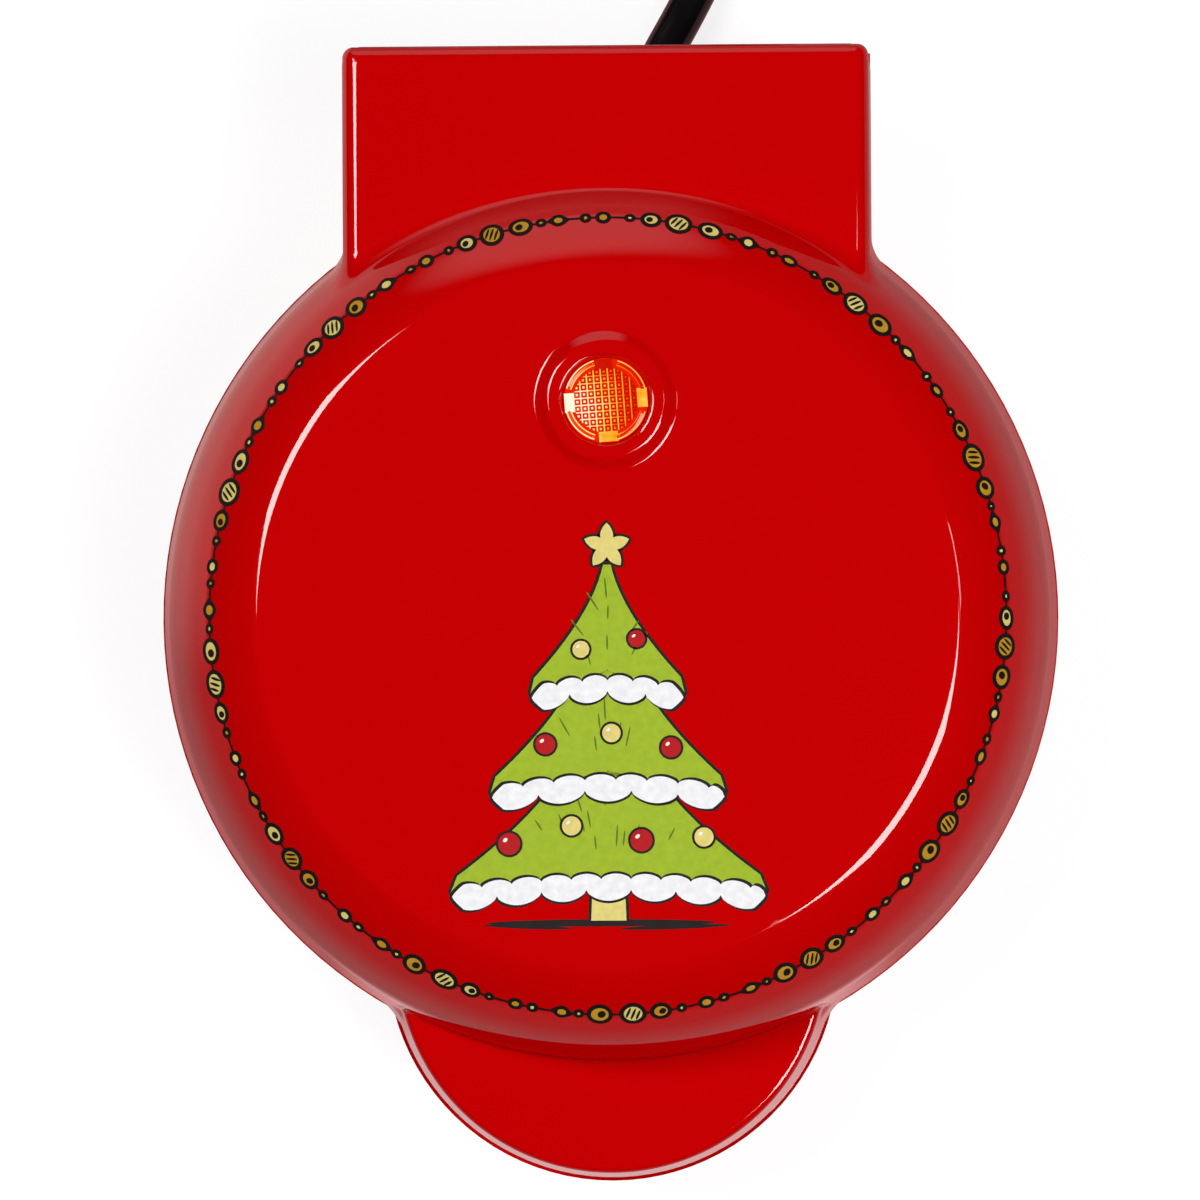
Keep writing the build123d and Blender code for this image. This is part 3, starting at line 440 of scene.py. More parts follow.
def lit_amber(name, sizes, kind):
    """Clear amber plastic with a lamp behind it. The glow falls off from a bright place on the left, from
    near white through yellow and orange to deep red. The kinds are "prisms", "ring" and "catches", which are
    evenly lit, but for the dark one at the back."""
    material, tree, shader, where = start_material(name)
    maths = partial(calculated, tree)
    x, y, _ = separated(tree, where)
    y = maths("SUBTRACT", y, lens_y * MM)

    def distance(u, v, across, along):
        """Length of the vector from (u, v), over the two given lengths."""
        a = maths("DIVIDE", maths("SUBTRACT", x, u), across)
        b = maths("DIVIDE", maths("SUBTRACT", y, v), along)
        return maths("SQRT", maths("ADD", maths("MULTIPLY", a, a), maths("MULTIPLY", b, b)))

    uneven = mapped(tree, noise(tree, where, 620, 3), 0.3, 0.7, -0.08, 0.08)
    far = maths("ADD", distance(-0.0036, -0.0012, 0.0095, 0.0105), uneven)
    radius = distance(0, 0, MM, MM)
    if kind == "prisms":
        level = prism_light(tree, sizes, x, y, far, radius)
    elif kind == "ring":
        level = ring_light(tree, far, radius)
    else:
        level = maths("ADD", mapped(tree, x, -0.004, 0.0, 1.02, 0.62), uneven)
        level = maths("MULTIPLY", level, mapped(tree, y, 0.003, 0.0035, 1.0, 0.1))
    ramp = tree.nodes.new("ShaderNodeValToRGB")
    tree.links.new(level, ramp.inputs["Fac"])
    stops = ((0.0, (0.42, 0.0, 0.0)), (0.22, (0.78, 0.012, 0.0)), (0.42, (1.0, 0.12, 0.003)),
             (0.6, (1.0, 0.42, 0.02)), (0.78, (1.0, 0.80, 0.16)), (0.95, (1.0, 0.97, 0.72)))
    band = ramp.color_ramp
    while len(band.elements) < len(stops):
        band.elements.new(0.5)
    for element, (position, colour) in zip(band.elements, stops):
        element.position = position
        element.color = (*colour, 1.0)
    tree.links.new(ramp.outputs["Color"], shader.inputs["Emission Color"])
    shader.inputs["Emission Strength"].default_value = sizes.glow
    shader.inputs["Base Color"].default_value = (0.08, 0.004, 0.0, 1.0)
    shader.inputs["Roughness"].default_value = 0.08
    shader.inputs["IOR"].default_value = 1.49
    return material


# Lid

def rounded_outside(a, b, radius):
    """Field of the solid inside both a and b, whose outer edge has a round of the radius."""
    over = np.hypot(np.maximum(radius + a, 0), np.maximum(radius + b, 0))
    return np.minimum(-radius, np.maximum(a, b)) + over


def rounded_inside(a, b, radius):
    """Field of the solid inside a or b, whose inner corner is filled with a round of the radius."""
    under = np.hypot(np.maximum(radius - a, 0), np.maximum(radius - b, 0))
    return np.maximum(radius, np.minimum(a, b)) - under


def eased(value):
    """Smooth step from 0 to 1: 3 v squared less 2 v cubed."""
    v = np.clip(value, 0, 1)
    return v * v * (3 - 2 * v)


def lid_field(x, y, z, sizes):
    """Distance of points from the lid's surface, less than 0 inside. The dome is a drafted wall, a shoulder
    arc about (shoulder_r, shoulder_z) and a flat top, the block is three drafted planes and a flat top, the
    tab is a drafted round plate. Rounds join them, which are small where the dome rises from a flat top."""
    r = np.hypot(x, y)
    about = np.arctan2(z - shoulder_z, r - shoulder_r)
    wall = (r - lid_radius) * cos(lid_draft) + (z - lid_rim) * sin(lid_draft)
    side = np.where(about < lid_draft, wall, np.hypot(r - shoulder_r, z - shoulder_z) - shoulder_radius)
    side = np.where(r < shoulder_r, z - lid_top - 1, side)
    flat = z - lid_top
    soft = sizes.crease_width / MM / 2 * tan(crease)
    dome = np.maximum(side, flat) + np.maximum(soft - np.abs(side - flat), 0) ** 2 / (4 * soft)

    c, s = cos(block_draft), sin(block_draft)
    rise = (z - lid_rim) * s
    flank, back = (np.abs(x) - block_half_width) * c + rise, (y - half_length) * c + rise
    block = rounded_outside(flank, back, block_corner)
    block = rounded_outside(block, z - block_top, sizes.block_edge / MM)
    block = np.maximum(block, block_front - y)
    low, high = sizes.corner / MM, sizes.top_corner / MM
    wide = high + junction_growth * high * (x / block_half_width) ** 2
    field = rounded_inside(dome, block, wide + (low - wide) * eased((block_top - 2 - z) / 5))

    tab = (np.hypot(x, y - tab_centre) - tab_radius) * cos(tab_draft) + (z - lid_rim) * sin(tab_draft)
    tab = rounded_outside(tab, z - tab_top, sizes.tab_edge / MM)
    return rounded_inside(field, tab, high + (low - high) * eased((tab_top - 1 - z) / 4))


def lid_points(turn, rise, sizes):
    """Points where rays from ray_start meet the lid's skin. turn is the angle round, rise the angle up. Each
    ray's length is halved between inside and outside."""
    way = np.stack([np.cos(rise) * np.cos(turn), np.cos(rise) * np.sin(turn), np.sin(rise)], axis=-1)
    low, high = np.full(turn.shape, 5.0), np.full(turn.shape, 110.0)
    skin = sizes.skin / MM
    for _ in range(26):
        half = (low + high) / 2
        at = ray_start + way * half[..., None]
        outside = lid_field(at[..., 0], at[..., 1], at[..., 2], sizes) > skin
        high, low = np.where(outside, half, high), np.where(outside, low, half)
    return ray_start + way * ((low + high) / 2)[..., None]


def evened(points, count, angles):
    """Angles for count points along the first axis of points, spaced evenly by length plus 5 mm for each
    radian of bend."""
    step = np.diff(points, axis=0)
    length = np.linalg.norm(step, axis=-1)
    way = step / np.maximum(length, 1e-9)[..., None]
    bend = np.arccos(np.clip((way[1:] * way[:-1]).sum(-1), -1, 1))
    bend = np.concatenate([bend[:1], bend]) / 2 + np.concatenate([bend, bend[-1:]]) / 2
    total = np.cumsum(length + 5.0 * bend, axis=0)
    total = np.concatenate([np.zeros_like(total[:1]), total])
    return np.interp(np.linspace(0, total[-1], count), total, angles)


def lid_normals(points, sizes):
    """Unit gradient of the lid's field, from differences of 0.01 mm."""
    slope = []
    for shift in np.eye(3) * 0.01:
        ahead, behind = (np.moveaxis(some, -1, 0) for some in (points + shift, points - shift))
        slope.append(lid_field(*ahead, sizes) - lid_field(*behind, sizes))
    slope = np.stack(slope, axis=-1)
    return slope / np.linalg.norm(slope, axis=-1, keepdims=True)


def lid_grid(sizes):
    """Points and normals of the lid's skin: rows from the rim to the middle of the top, columns round it."""
    around = np.linspace(-pi, pi, 2881)
    rim = lid_points(around, np.zeros_like(around), sizes)
    turns = evened(rim, sizes.columns + 1, around)[:-1]
    fine = np.concatenate([np.linspace(0, radians(30), 420)[:-1], np.linspace(radians(30), pi / 2, 200)])
    sections = lid_points(*np.meshgrid(turns, fine), sizes)
    rises = np.stack([evened(sections[:, i], sizes.rows, fine) for i in range(len(turns))], axis=1)
    points = lid_points(np.broadcast_to(turns, rises.shape), rises, sizes)
    return points, lid_normals(points, sizes)


def rim_lip(points, normals, radius):
    """Points and normals of the rounded rim below the first row, and inwards under the moulding's edge."""
    out = normals[0] * (1, 1, 0)
    out /= np.linalg.norm(out, axis=-1, keepdims=True)
    bend = np.radians([90, 90, 60, 30])[:, None, None]
    reach = radius * (1 - np.cos(bend))
    reach[0] = 1.3
    lip = points[0] - out * reach
    lip[..., 2:] = points[0, 0, 2] - radius * np.sin(bend) - 0.03
    return lip, out * np.cos(bend) - np.array([0, 0, 1]) * np.sin(bend)


class WAFFLE_OT_lid(Operator):
    """Add the glossy surface of the lid"""
    bl_idname = "waffle.lid"
    bl_label = "Lid"

    def execute(self, context):
        sizes = context.scene.waffle_lid
        red = moulded_red(context.scene.waffle_finish)
        points, normals = lid_grid(sizes)
        lip, lip_normals = rim_lip(points, normals, sizes.rim_edge / MM)
        points = np.concatenate([lip, points])
        normals = np.concatenate([lip_normals, normals])
        faces = grid_faces(len(points), sizes.columns, True)
        middle = points.reshape(-1, 3)[faces].mean(axis=1)
        faces = faces[np.hypot(middle[:, 0], middle[:, 1] - lens_y) > ring_hole]
        new_piece("lid_skin", points, faces, red, normals=normals)

        # Raised ring round the lens: an eased slope from the flat top, a flat crest, a round and a bevel
        flat = lid_top + sizes.skin / MM
        crest = flat + ring_height
        profile = [(r, flat + ring_height * eased((9.85 - r) / 2.1)) for r in np.linspace(9.9, 7.75, 25)]
        profile += [(7.4, crest), (6.8, crest)]
        bevel = np.radians([10, 28, 46, 64, 82])
        profile += [(6.4 - 0.2 * sin(a), crest - 0.2 + 0.2 * cos(a)) for a in bevel]
        profile += [(6.03, 70.0), (5.88, 69.25)]
        new_piece("lens_ring", about_lens(profile, 96), grid_faces(len(profile), 96, True), red)
        return {"FINISHED"}


# Lens

def prism_grid(pitch, tilt):
    """Points and faces of the prisms. Each is a frustum, with corner k of level j at its cell's middle plus
    its half width for that level, and all are turned by tilt."""
    cell = np.arange(-5, 6) * pitch
    middles = np.stack(np.meshgrid(cell, cell), axis=-1).reshape(-1, 2)
    middles = middles[np.hypot(*middles.T) < prism_reach]
    half = np.array([0.45, 0.26])[:, None] * pitch
    px = middles[:, 0, None, None] + half * [-1, 1, 1, -1]
    py = middles[:, 1, None, None] + half * [-1, -1, 1, 1]
    pz = np.broadcast_to(lens_floor + np.array([[-0.02], [prism_height]]), px.shape)
    c, s = cos(tilt), sin(tilt)
    points = np.stack([px * c - py * s, lens_y + px * s + py * c, pz], axis=-1)
    one = np.array([[0, 1, 5, 4], [1, 2, 6, 5], [2, 3, 7, 6], [3, 0, 4, 7], [4, 5, 6, 7]])
    return points, repeated(one, 8, len(middles))


def snap_ring():
    """Points and faces of a rounded strip in four arcs, each drawn in to nothing at both ends."""
    section = np.radians(np.arange(0, 181, 30))
    across = np.concatenate([[0.42], 0.42 * np.cos(section), [-0.42]])[:, None]
    rise = np.concatenate([[0.0], 0.2 + 0.38 * np.sin(section), [0.0]])[:, None]
    ends = np.concatenate([[0.0], np.ones(20), [0.0]])
    radius, height = snap_radius + across * ends, lens_floor - 0.1 + rise * ends
    arcs = []
    for start in (15, 105, 195, 285):
        arc = np.radians(np.linspace(start, start + 60, len(ends)))
        strip = np.stack([radius * np.cos(arc), lens_y + radius * np.sin(arc), height], axis=-1)
        arcs.append((strip, grid_faces(*strip.shape[:2], False)))
    return joined(arcs)


def flat_catches():
    """Points and faces of a flat catch with soft edges in each gap of the snap ring."""
    out, across = np.meshgrid([4.25, 4.3, 4.35, 5.55, 5.62, 5.66], [-1.32, -1.28, -1.2, 1.2, 1.28, 1.32],
                              indexing="ij")
    rise = np.outer([0.0, 0.29, 0.35, 0.35, 0.29, 0.0], [0.0, 0.7, 1.0, 1.0, 0.7, 0.0])
    height = lens_floor - 0.15 + rise
    catches = []
    for a in np.radians([4, 94, 184, 274]):
        x, y = out * cos(a) - across * sin(a), out * sin(a) + across * cos(a)
        catches.append((np.stack([x, lens_y + y, height], axis=-1), grid_faces(*x.shape, False)[:, ::-1]))
    return joined(catches)


class WAFFLE_OT_lens(Operator):
    """Add the lit lens with its prisms and snap ring"""
    bl_idname = "waffle.lens"
    bl_label = "Lens"

    def execute(self, context):
        sizes = context.scene.waffle_lens
        amber, slot = lit_amber("lit_prisms", sizes, "prisms"), "amber_lens"
        # Window under the prisms, down to the ring's foot
        profile = [(r, lens_floor) for r in (0.01, 1.2, 2.4, 3.6, 4.8, 5.7)]
        profile += [(5.75, lens_floor - 0.1), (5.75, 69.2)]
        faces = grid_faces(len(profile), 72, True)[:, ::-1]
        window = new_piece("lens_window", about_lens(profile, 72), faces, amber, slot, smooth=False)
        new_piece("lens_prisms", *prism_grid(sizes.pitch / MM, sizes.tilt), amber, slot, smooth=False)
        new_piece("lens_snap_ring", *snap_ring(), lit_amber("lit_ring", sizes, "ring"), slot)
        lit_catches = lit_amber("lit_catches", sizes, "catches")
        new_piece("lens_catches", *flat_catches(), lit_catches, slot, smooth=False)
        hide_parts("indicator_lens")
        return {"FINISHED"}


# Printed decoration

def on_shoulder(turn, across, lift):
    """Point on the lid's shoulder. turn is the angle round the lid, across the distance outwards along the
    arc from the crease, lift the height above the moulding."""
    lean = crease + across / shoulder_radius
    reach = shoulder_radius + lift
    r = shoulder_r + reach * np.sin(lean)
    return np.stack([r * np.cos(turn), r * np.sin(turn), shoulder_z + reach * np.cos(lean)], axis=-1)


def garland_places():
    """Angle, half length, half width and kind of each bead round the lid, the gap before it, and the random
    draws. Sizes differ a little from bead to bead, and the gaps are stretched so that the repeats close the
    ring."""
    rng = np.random.default_rng(5)
    beads = np.array([b[:3] for b in garland_beads] * garland_repeats)
    kinds = np.array([b[3] for b in garland_beads] * garland_repeats)
    beads[:, :2] *= rng.uniform(0.9, 1.08, (len(beads), 2))
    beads[:, 2] *= rng.uniform(0.8, 1.2, len(beads))
    long, wide, gap = beads.T
    spare = 2 * pi * garland_radius - 2 * long.sum()
    gap = gap * spare / gap.sum()
    start = np.cumsum(gap + 2 * long) - long
    return start / garland_radius + garland_start, long, wide, kinds, gap, rng


def bead_patches(beads, lift, pointed=0.0):
    """Small flat ovals on the shoulder. A row of beads is the angle round the lid, half length, half width,
    lean, and the shifts along and across the garland. Each point is the oval's middle plus t times its half
    axes along the angle v, for t from 0.02 to 1, where pointed draws the ends out to a point."""
    turn, long, wide, lean, shift_along, shift_across = beads.T[:, :, None, None]
    t = np.array([0.02, 0.55, 1.0])[:, None]
    v = np.linspace(0, 2 * pi, 21)[:-1]
    a = shift_along + long * t * np.cos(v) * (1 + pointed * np.cos(v) ** 8)
    b = shift_across + wide * t * np.sin(v) * (1 - pointed * 0.6 * np.cos(v) ** 2)
    c, s = np.cos(lean), np.sin(lean)
    points = on_shoulder(turn + (a * c - b * s) / garland_radius, garland_across + a * s + b * c, lift)
    return points, repeated(grid_faces(3, 20, True), 60, len(beads))


def garland_thread(turn, long, gap):
    """Narrow strips between the beads: one in a short gap, three dashes in a long one."""
    dashes = []
    for at, width in zip(turn - (long + gap / 2) / garland_radius, gap):
        pieces, share = (1, 0.62) if width < 1.6 else (3, 0.24)
        for k in range(pieces):
            dashes.append((at + (k - (pieces - 1) / 2) * width / pieces / garland_radius, width * share))
    at, half = np.array(dashes).T[:, :, None, None]
    along = at + half * np.linspace(-1, 1, 5)[:, None] / garland_radius
    across = garland_across + np.broadcast_to([-0.2, 0.2], (len(dashes), 5, 2))
    return on_shoulder(along, across, 0.08), repeated(grid_faces(5, 2, False), 10, len(dashes))


class WAFFLE_OT_garland(Operator):
    """Add the printed ring of beads round the lid"""
    bl_idname = "waffle.garland"
    bl_label = "Garland"

    def execute(self, context):
        inks = context.scene.waffle_print
        outline = ink("outline_ink", inks.outline)
        pale, deep = ink("pale_gold_ink", inks.pale_gold), ink("deep_gold_ink", inks.deep_gold)
        turn, long, wide, kinds, gap, rng = garland_places()
        lean = rng.uniform(-0.16, 0.16, len(turn))
        golden = rng.uniform(0, 1, len(turn)) < 0.5
        none = np.zeros(len(turn))
        beads = np.stack([turn, long, wide, lean, none, none], axis=1)
        sharp = kinds == "lozenge"
        new_piece("garland_outlines", *bead_patches(beads[~sharp], 0.09), outline)
        new_piece("garland_lozenge_outlines", *bead_patches(beads[sharp], 0.09, 0.35), outline)
        beads[:, 1] -= 0.56 + 0.03 * long
        beads[:, 2] -= 0.57 + 0.06 * wide
        new_piece("garland_pale_beads", *bead_patches(beads[~golden], 0.11), pale)
        new_piece("garland_deep_beads", *bead_patches(beads[golden], 0.11), deep)

        # Marks in the larger beads: an off-centre oval in the eyed ones, slanting strokes in the striped ones
        eyed = np.flatnonzero((kinds == "eyed") & (long > 1.3))
        striped = np.flatnonzero(kinds == "striped")
        marks = [np.stack([turn[some], long[some] * share_long, wide[some] * share_wide, lean[some] + slant,
                           long[some] * along, wide[some] * across], axis=1)
                 for some, share_long, share_wide, along, across, slant in (
                     (eyed, 0.3, 0.36, 0.12, -0.08, 0.5), (striped, 0.1, 0.5, -0.36, 0.0, 0.45),
                     (striped, 0.1, 0.54, 0.02, 0.0, 0.45), (striped, 0.1, 0.46, 0.38, 0.0, 0.45))]
        new_piece("garland_marks", *bead_patches(np.concatenate(marks), 0.13), outline)
        new_piece("garland_thread", *garland_thread(turn, long, gap), outline)
        return {"FINISHED"}


def layer(number):
    """Height over the flat top of one of the ink layers of the fir tree."""
    return 0.075 + 0.01 * number


def flat_patch(outline, lift, grow=0.0):
    """Flat patch on the lid's top: points t times the way from the middle of a closed outline to it, where
    grow moves the outline outwards along its normals. t starts at 0.01."""
    outline = np.asarray(outline, float)
    if grow:
        way = np.roll(outline, -1, axis=0) - np.roll(outline, 1, axis=0)
        way /= np.maximum(np.linalg.norm(way, axis=1, keepdims=True), 1e-9)
        outline = outline + grow * np.stack([way[:, 1], -way[:, 0]], axis=1)
    middle = outline.mean(axis=0)
    t = np.array([0.01, 0.5, 1.0])[:, None, None]
    flat = middle + t * (outline - middle)
    points = np.concatenate([flat, np.full((*flat.shape[:2], 1), lid_top + lift)], axis=-1)
    return points, grid_faces(3, len(outline), True)[:, ::-1]


def oval(x, y, a, b, turn=0.0, count=36):
    """Closed oval about (x, y) with half axes a and b, anticlockwise."""
    v = np.linspace(0, 2 * pi, count + 1)[:-1]
    u, w = a * np.cos(v), b * np.sin(v)
    return np.stack([x + u * cos(turn) - w * sin(turn), y + u * sin(turn) + w * cos(turn)], axis=1)


def bough(y_top, y_low, half_top, half_low, lobes):
    """Closed outline of one tier of the fir tree, anticlockwise: bowed sides from the top to the low corners,
    and a lower edge of lobes that hang down as half circles, sagging towards the corners."""
    s = np.linspace(0, 1, 26)[1:-1]
    side = half_top + (half_low - half_top) * s ** 1.35
    left = np.stack([-side, y_top + (y_low - y_top) * s ** 0.85], axis=1)
    q = np.linspace(0, 1, 24 * lobes + 1)
    x = half_low * (2 * q - 1)
    y = y_low - 1.5 * np.abs(np.sin(pi * lobes * q)) ** 0.7 - 1.6 * (2 * q - 1) ** 2
    return np.concatenate([left, np.stack([x, y], axis=1), left[::-1] * (-1, 1)])


def snow_strip(tier, lift, grow):
    """Flat strip of snow along a tier's lower edge: a sagging middle line, with small humps above it and
    deeper lobes below it, each a power of the size of a sine, drawn in to the middle line at both ends."""
    _, y_low, _, half_low, lobes = tier
    q = np.linspace(0, 1, 24 * lobes + 1)
    x = (2 * q - 1) * (half_low - 0.2 + grow)
    middle = y_low - 0.6 - 1.6 * (2 * q - 1) ** 2
    end = np.sqrt(np.clip(np.minimum(q, 1 - q) * 2 * half_low / 1.6, 0, 1))
    over = end * (0.75 + 0.75 * np.abs(np.sin(pi * (lobes * 1.5) * q)) ** 0.6) + grow
    under = end * (0.7 + 1.5 * np.abs(np.sin(pi * lobes * q)) ** 0.6) + grow
    y = middle - under + np.linspace(0, 1, 4)[:, None] * (over + under)
    points = np.stack([np.broadcast_to(x, y.shape), y, np.full(y.shape, lid_top + lift)], axis=-1)
    return points, grid_faces(4, len(q), False)


def twigs(tier, count, rng):
    """Thin slanting strokes over a tier of the fir tree."""
    y_top, y_low, half_top, half_low, _ = tier
    strokes = []
    for _ in range(count):
        v = rng.uniform(0.2, 0.8)
        wide = (half_top + (half_low - half_top) * v ** 1.35) * 0.8
        x, y = rng.uniform(-wide, wide), y_top + (y_low - y_top) * v
        strokes.append(oval(x, y, rng.uniform(0.9, 1.6), 0.13, radians(-90 - x / wide * 38), 10))
    return strokes


def star_outline():
    """Closed outline of the star: its radius swings between two values, five times round."""
    v = np.linspace(0, 2 * pi, 101)[:-1]
    swing = np.abs(((v - pi / 2) * 5 / (2 * pi)) % 1.0 - 0.5) * 2
    radius = star_radius + star_swing * swing
    return np.stack([radius * np.cos(v), star_y + radius * np.sin(v)], axis=1)


class WAFFLE_OT_tree(Operator):
    """Add the printed fir tree on the flat top of the lid"""
    bl_idname = "waffle.tree"
    bl_label = "Fir Tree"

    def execute(self, context):
        inks = context.scene.waffle_print
        outline = ink("tree_outline_ink", inks.outline)
        green, twig = ink("green_ink", inks.green), ink("dark_green_ink", inks.dark_green)
        white, red = ink("white_ink", inks.white), ink("bauble_red_ink", inks.red)
        gold = ink("tree_gold_ink", inks.pale_gold)
        for k, tier in enumerate(tree_tiers):
            shape, first = bough(*tier), 6 * k
            new_piece(f"tree_outline_{k}", *flat_patch(shape, layer(first), tree_line), outline)
            new_piece(f"tree_bough_{k}", *flat_patch(shape, layer(first + 1)), green)
            new_piece(f"tree_snow_line_{k}", *snow_strip(tier, layer(first + 2), snow_line), outline)
            new_piece(f"tree_snow_{k}", *snow_strip(tier, layer(first + 3), 0.0), white)
            strokes = twigs(tier, 22 - 6 * k, np.random.default_rng(11 + k))
            new_piece(f"tree_twigs_{k}", *joined(flat_patch(s, layer(first + 2)) for s in strokes), twig)

        # Trunk and ground, under the lowest tier
        trunk = np.concatenate([a + (b - a) * np.linspace(0, 1, 8)[:-1, None]
                                for a, b in zip(trunk_corners, np.roll(trunk_corners, -1, axis=0))])
        new_piece("tree_trunk_line", *flat_patch(trunk, 0.062, tree_line), outline)
        new_piece("tree_trunk", *flat_patch(trunk, 0.068), gold)
        ground = [(-1, -41.8, 15.5, 0.5), (9, -42.4, 7.5, 0.3, 0.03), (-11, -42.3, 6.0, 0.28, -0.04)]
        strokes = joined(flat_patch(oval(*g), 0.064 + 0.001 * i) for i, g in enumerate(ground))
        new_piece("tree_ground", *strokes, outline)

        star = star_outline()
        new_piece("tree_star_line", *flat_patch(star, layer(16), 0.35), outline)
        new_piece("tree_star", *flat_patch(star, layer(17)), gold)
        for name, some, colour in (("tree_red_baubles", baubles[::2], red),
                                   ("tree_gold_baubles", baubles[1::2], gold)):
            rounds = [oval(x, y, r, r) for x, y, r in some]
            new_piece(name + "_line", *joined(flat_patch(o, layer(14), 0.32) for o in rounds), outline)
            new_piece(name, *joined(flat_patch(o, layer(15)) for o in rounds), colour)
        glints = [oval(x - r * 0.35, y + r * 0.35, r * 0.24, r * 0.16, 0.7, 14) for x, y, r in baubles]
        new_piece("tree_glints", *joined(flat_patch(o, layer(16)) for o in glints), white)
        return {"FINISHED"}


# Mains lead

def lead_places():
    """Control points of the lead: its route, then a spiral in and out that climbs a layer where it reverses,
    and the free end. The spiral's points stand a little outside its line, because the curve cuts corners."""
    inner = coil_middle - coil_pitch * coil_turns / 4
    outer = coil_middle + coil_pitch * coil_turns / 4
    heading = atan2(route[-1][0] - route[-2][0], route[-1][1] - route[-2][1])
    start = -heading - atan(coil_pitch / (2 * pi * outer))
    cx, cy = route[-1][0] - outer * cos(start), route[-1][1] - outer * sin(start)
    points = [Vector(p) for p in route]
    spread = 1 / (0.75 + 0.25 * cos(2 * pi / coil_points))
    steps = round(coil_turns * coil_points)
    for i in range(1, steps + 1):
        u = coil_turns * i / steps
        away = u - coil_turns / 2
        climb = min(max(away * 2 + 0.5, 0), 1)
        r = (inner + coil_pitch * abs(away)) * (spread if i < steps else 1)
        a = start + 2 * pi * u
        height = lead_radius + coil_pitch * climb * climb * (3 - 2 * climb)
        points.append(Vector((cx + r * cos(a), cy + r * sin(a), height)))
    out = coil_pitch / (2 * pi)
    way = atan2(out * sin(a) + outer * cos(a), out * cos(a) - outer * sin(a))
    for length, left, height in tail_runs:
        way += radians(left)
        points.append(Vector((points[-1].x + length * cos(way), points[-1].y + length * sin(way), height)))
    return points


class WAFFLE_OT_lead(Operator):
    """Add the mains lead, coiled behind the machine"""
    bl_idname = "waffle.lead"
    bl_label = "Mains Lead"

    def execute(self, context):
        colour = context.scene.waffle_finish.jacket
        points = lead_places()
        curve = bpy.data.curves.new("mains_lead", "CURVE")
        curve.dimensions = "3D"
        curve.bevel_depth = lead_radius * MM
        curve.bevel_resolution = 6
        curve.use_fill_caps = True
        curve.resolution_u = 8
        spline = curve.splines.new("NURBS")
        spline.points.add(len(points) - 1)
        for point, place in zip(spline.points, points):
            point.co = (*(place * MM), 1)
        spline.order_u = 3
        spline.use_endpoint_u = True
        lead = bpy.data.objects.new("mains_lead", curve)
        context.scene.collection.objects.link(lead)
        jacket = simple_finish("lead_jacket", colour, 0.18, 500, (0.14, 0.22), (1800, 0.000004))
        curve.materials.append(jacket)
        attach(lead, "base")
        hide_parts("power_cord", "cord_coil", "cord_tail")
        for name in ("plug", "strain_relief"):
            finish = "moulded_black_" + name
            dress(name, simple_finish(finish, colour, 0.2, 700, (0.36, 0.5), (2200, 0.00003)))
        return {"FINISHED"}


# Finishes of the modelled nodes

def dress(name, material):
    """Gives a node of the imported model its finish."""
    for slot in nodes[name].material_slots:
        slot.material = material


class WAFFLE_OT_finishes(Operator):
    """Give the modelled pieces their finishes"""
    bl_idname = "waffle.finishes"
    bl_label = "Finishes"

    def execute(self, context):
        colours = context.scene.waffle_finish
        red = bpy.data.materials.get("moulded_red") or moulded_red(colours)
        coating = nonstick_coating(colours)
        sleeve = woven_sleeve()
        steel = simple_finish("plated_steel", (0.60, 0.59, 0.57), 0.08, 700, (0.22, 0.36), (1500, 0.000006),
                              1.0)
        sheath = simple_finish("heated_sheath", (0.26, 0.22, 0.18), 0.25, 260, (0.38, 0.55), (1400, 0.00002),
                               1.0, (1, 1, 0.2))
        sheet = simple_finish("pressed_aluminium", (0.78, 0.78, 0.79), 0.06, 420, (0.25, 0.4), (900, 0.00001),
                              1.0, (1, 0.12, 1))
        ceramic = simple_finish("glazed_ceramic", (0.78, 0.75, 0.68), 0.06, 500, (0.4, 0.6), (1300, 0.00003))
        rubber = simple_finish("foot_rubber", (0.018, 0.018, 0.018), 0.25, 900, (0.7, 0.85), (2600, 0.00005))
        brass = simple_finish("bright_brass", (0.72, 0.52, 0.22), 0.08, 800, (0.2, 0.34), (1700, 0.000008),
                              1.0, (1, 1, 0.15))
        glass = simple_finish("lamp_glass", (0.95, 0.62, 0.38), 0.05, 600, (0.03, 0.08), None)
        glass.node_tree.nodes["Principled BSDF"].inputs["Transmission Weight"].default_value = 0.85
        holder = simple_finish("pale_holder", (0.74, 0.73, 0.69), 0.05, 700, (0.4, 0.55), (1500, 0.00003))
        dressed = {
            red: ("base_shell", "base_deck", "lid_shell", "lid_deck"),
            coating: ("lower_plate", "upper_plate"),
            sleeve: ("base_leads", "hinge_lead", "lid_lead"),
            steel: ("lower_plate_screws", "upper_plate_screws", "base_screws", "lid_screws", "pivot_pin",
                    "pivot_bush", "thermal_fuse"),
            sheath: ("lower_element", "upper_element"),
            sheet: ("lower_reflector", "upper_reflector"),
            ceramic: ("thermostat",),
            rubber: ("foot_front_left", "foot_front_right", "foot_rear_left", "foot_rear_right"),
            brass: ("plug_blades",),
            glass: ("neon_lamp",),
            holder: ("lamp_holder",),
        }
        for material, names in dressed.items():
            for name in names:
                dress(name, material)
        return {"FINISHED"}


# Stage

def faced(place, back, right):
    """Matrix of a lamp or camera at a place, whose back and right side are towards the two directions."""
    return Matrix.Translation(place) @ Matrix((right, back.cross(right), back)).transposed().to_4x4()


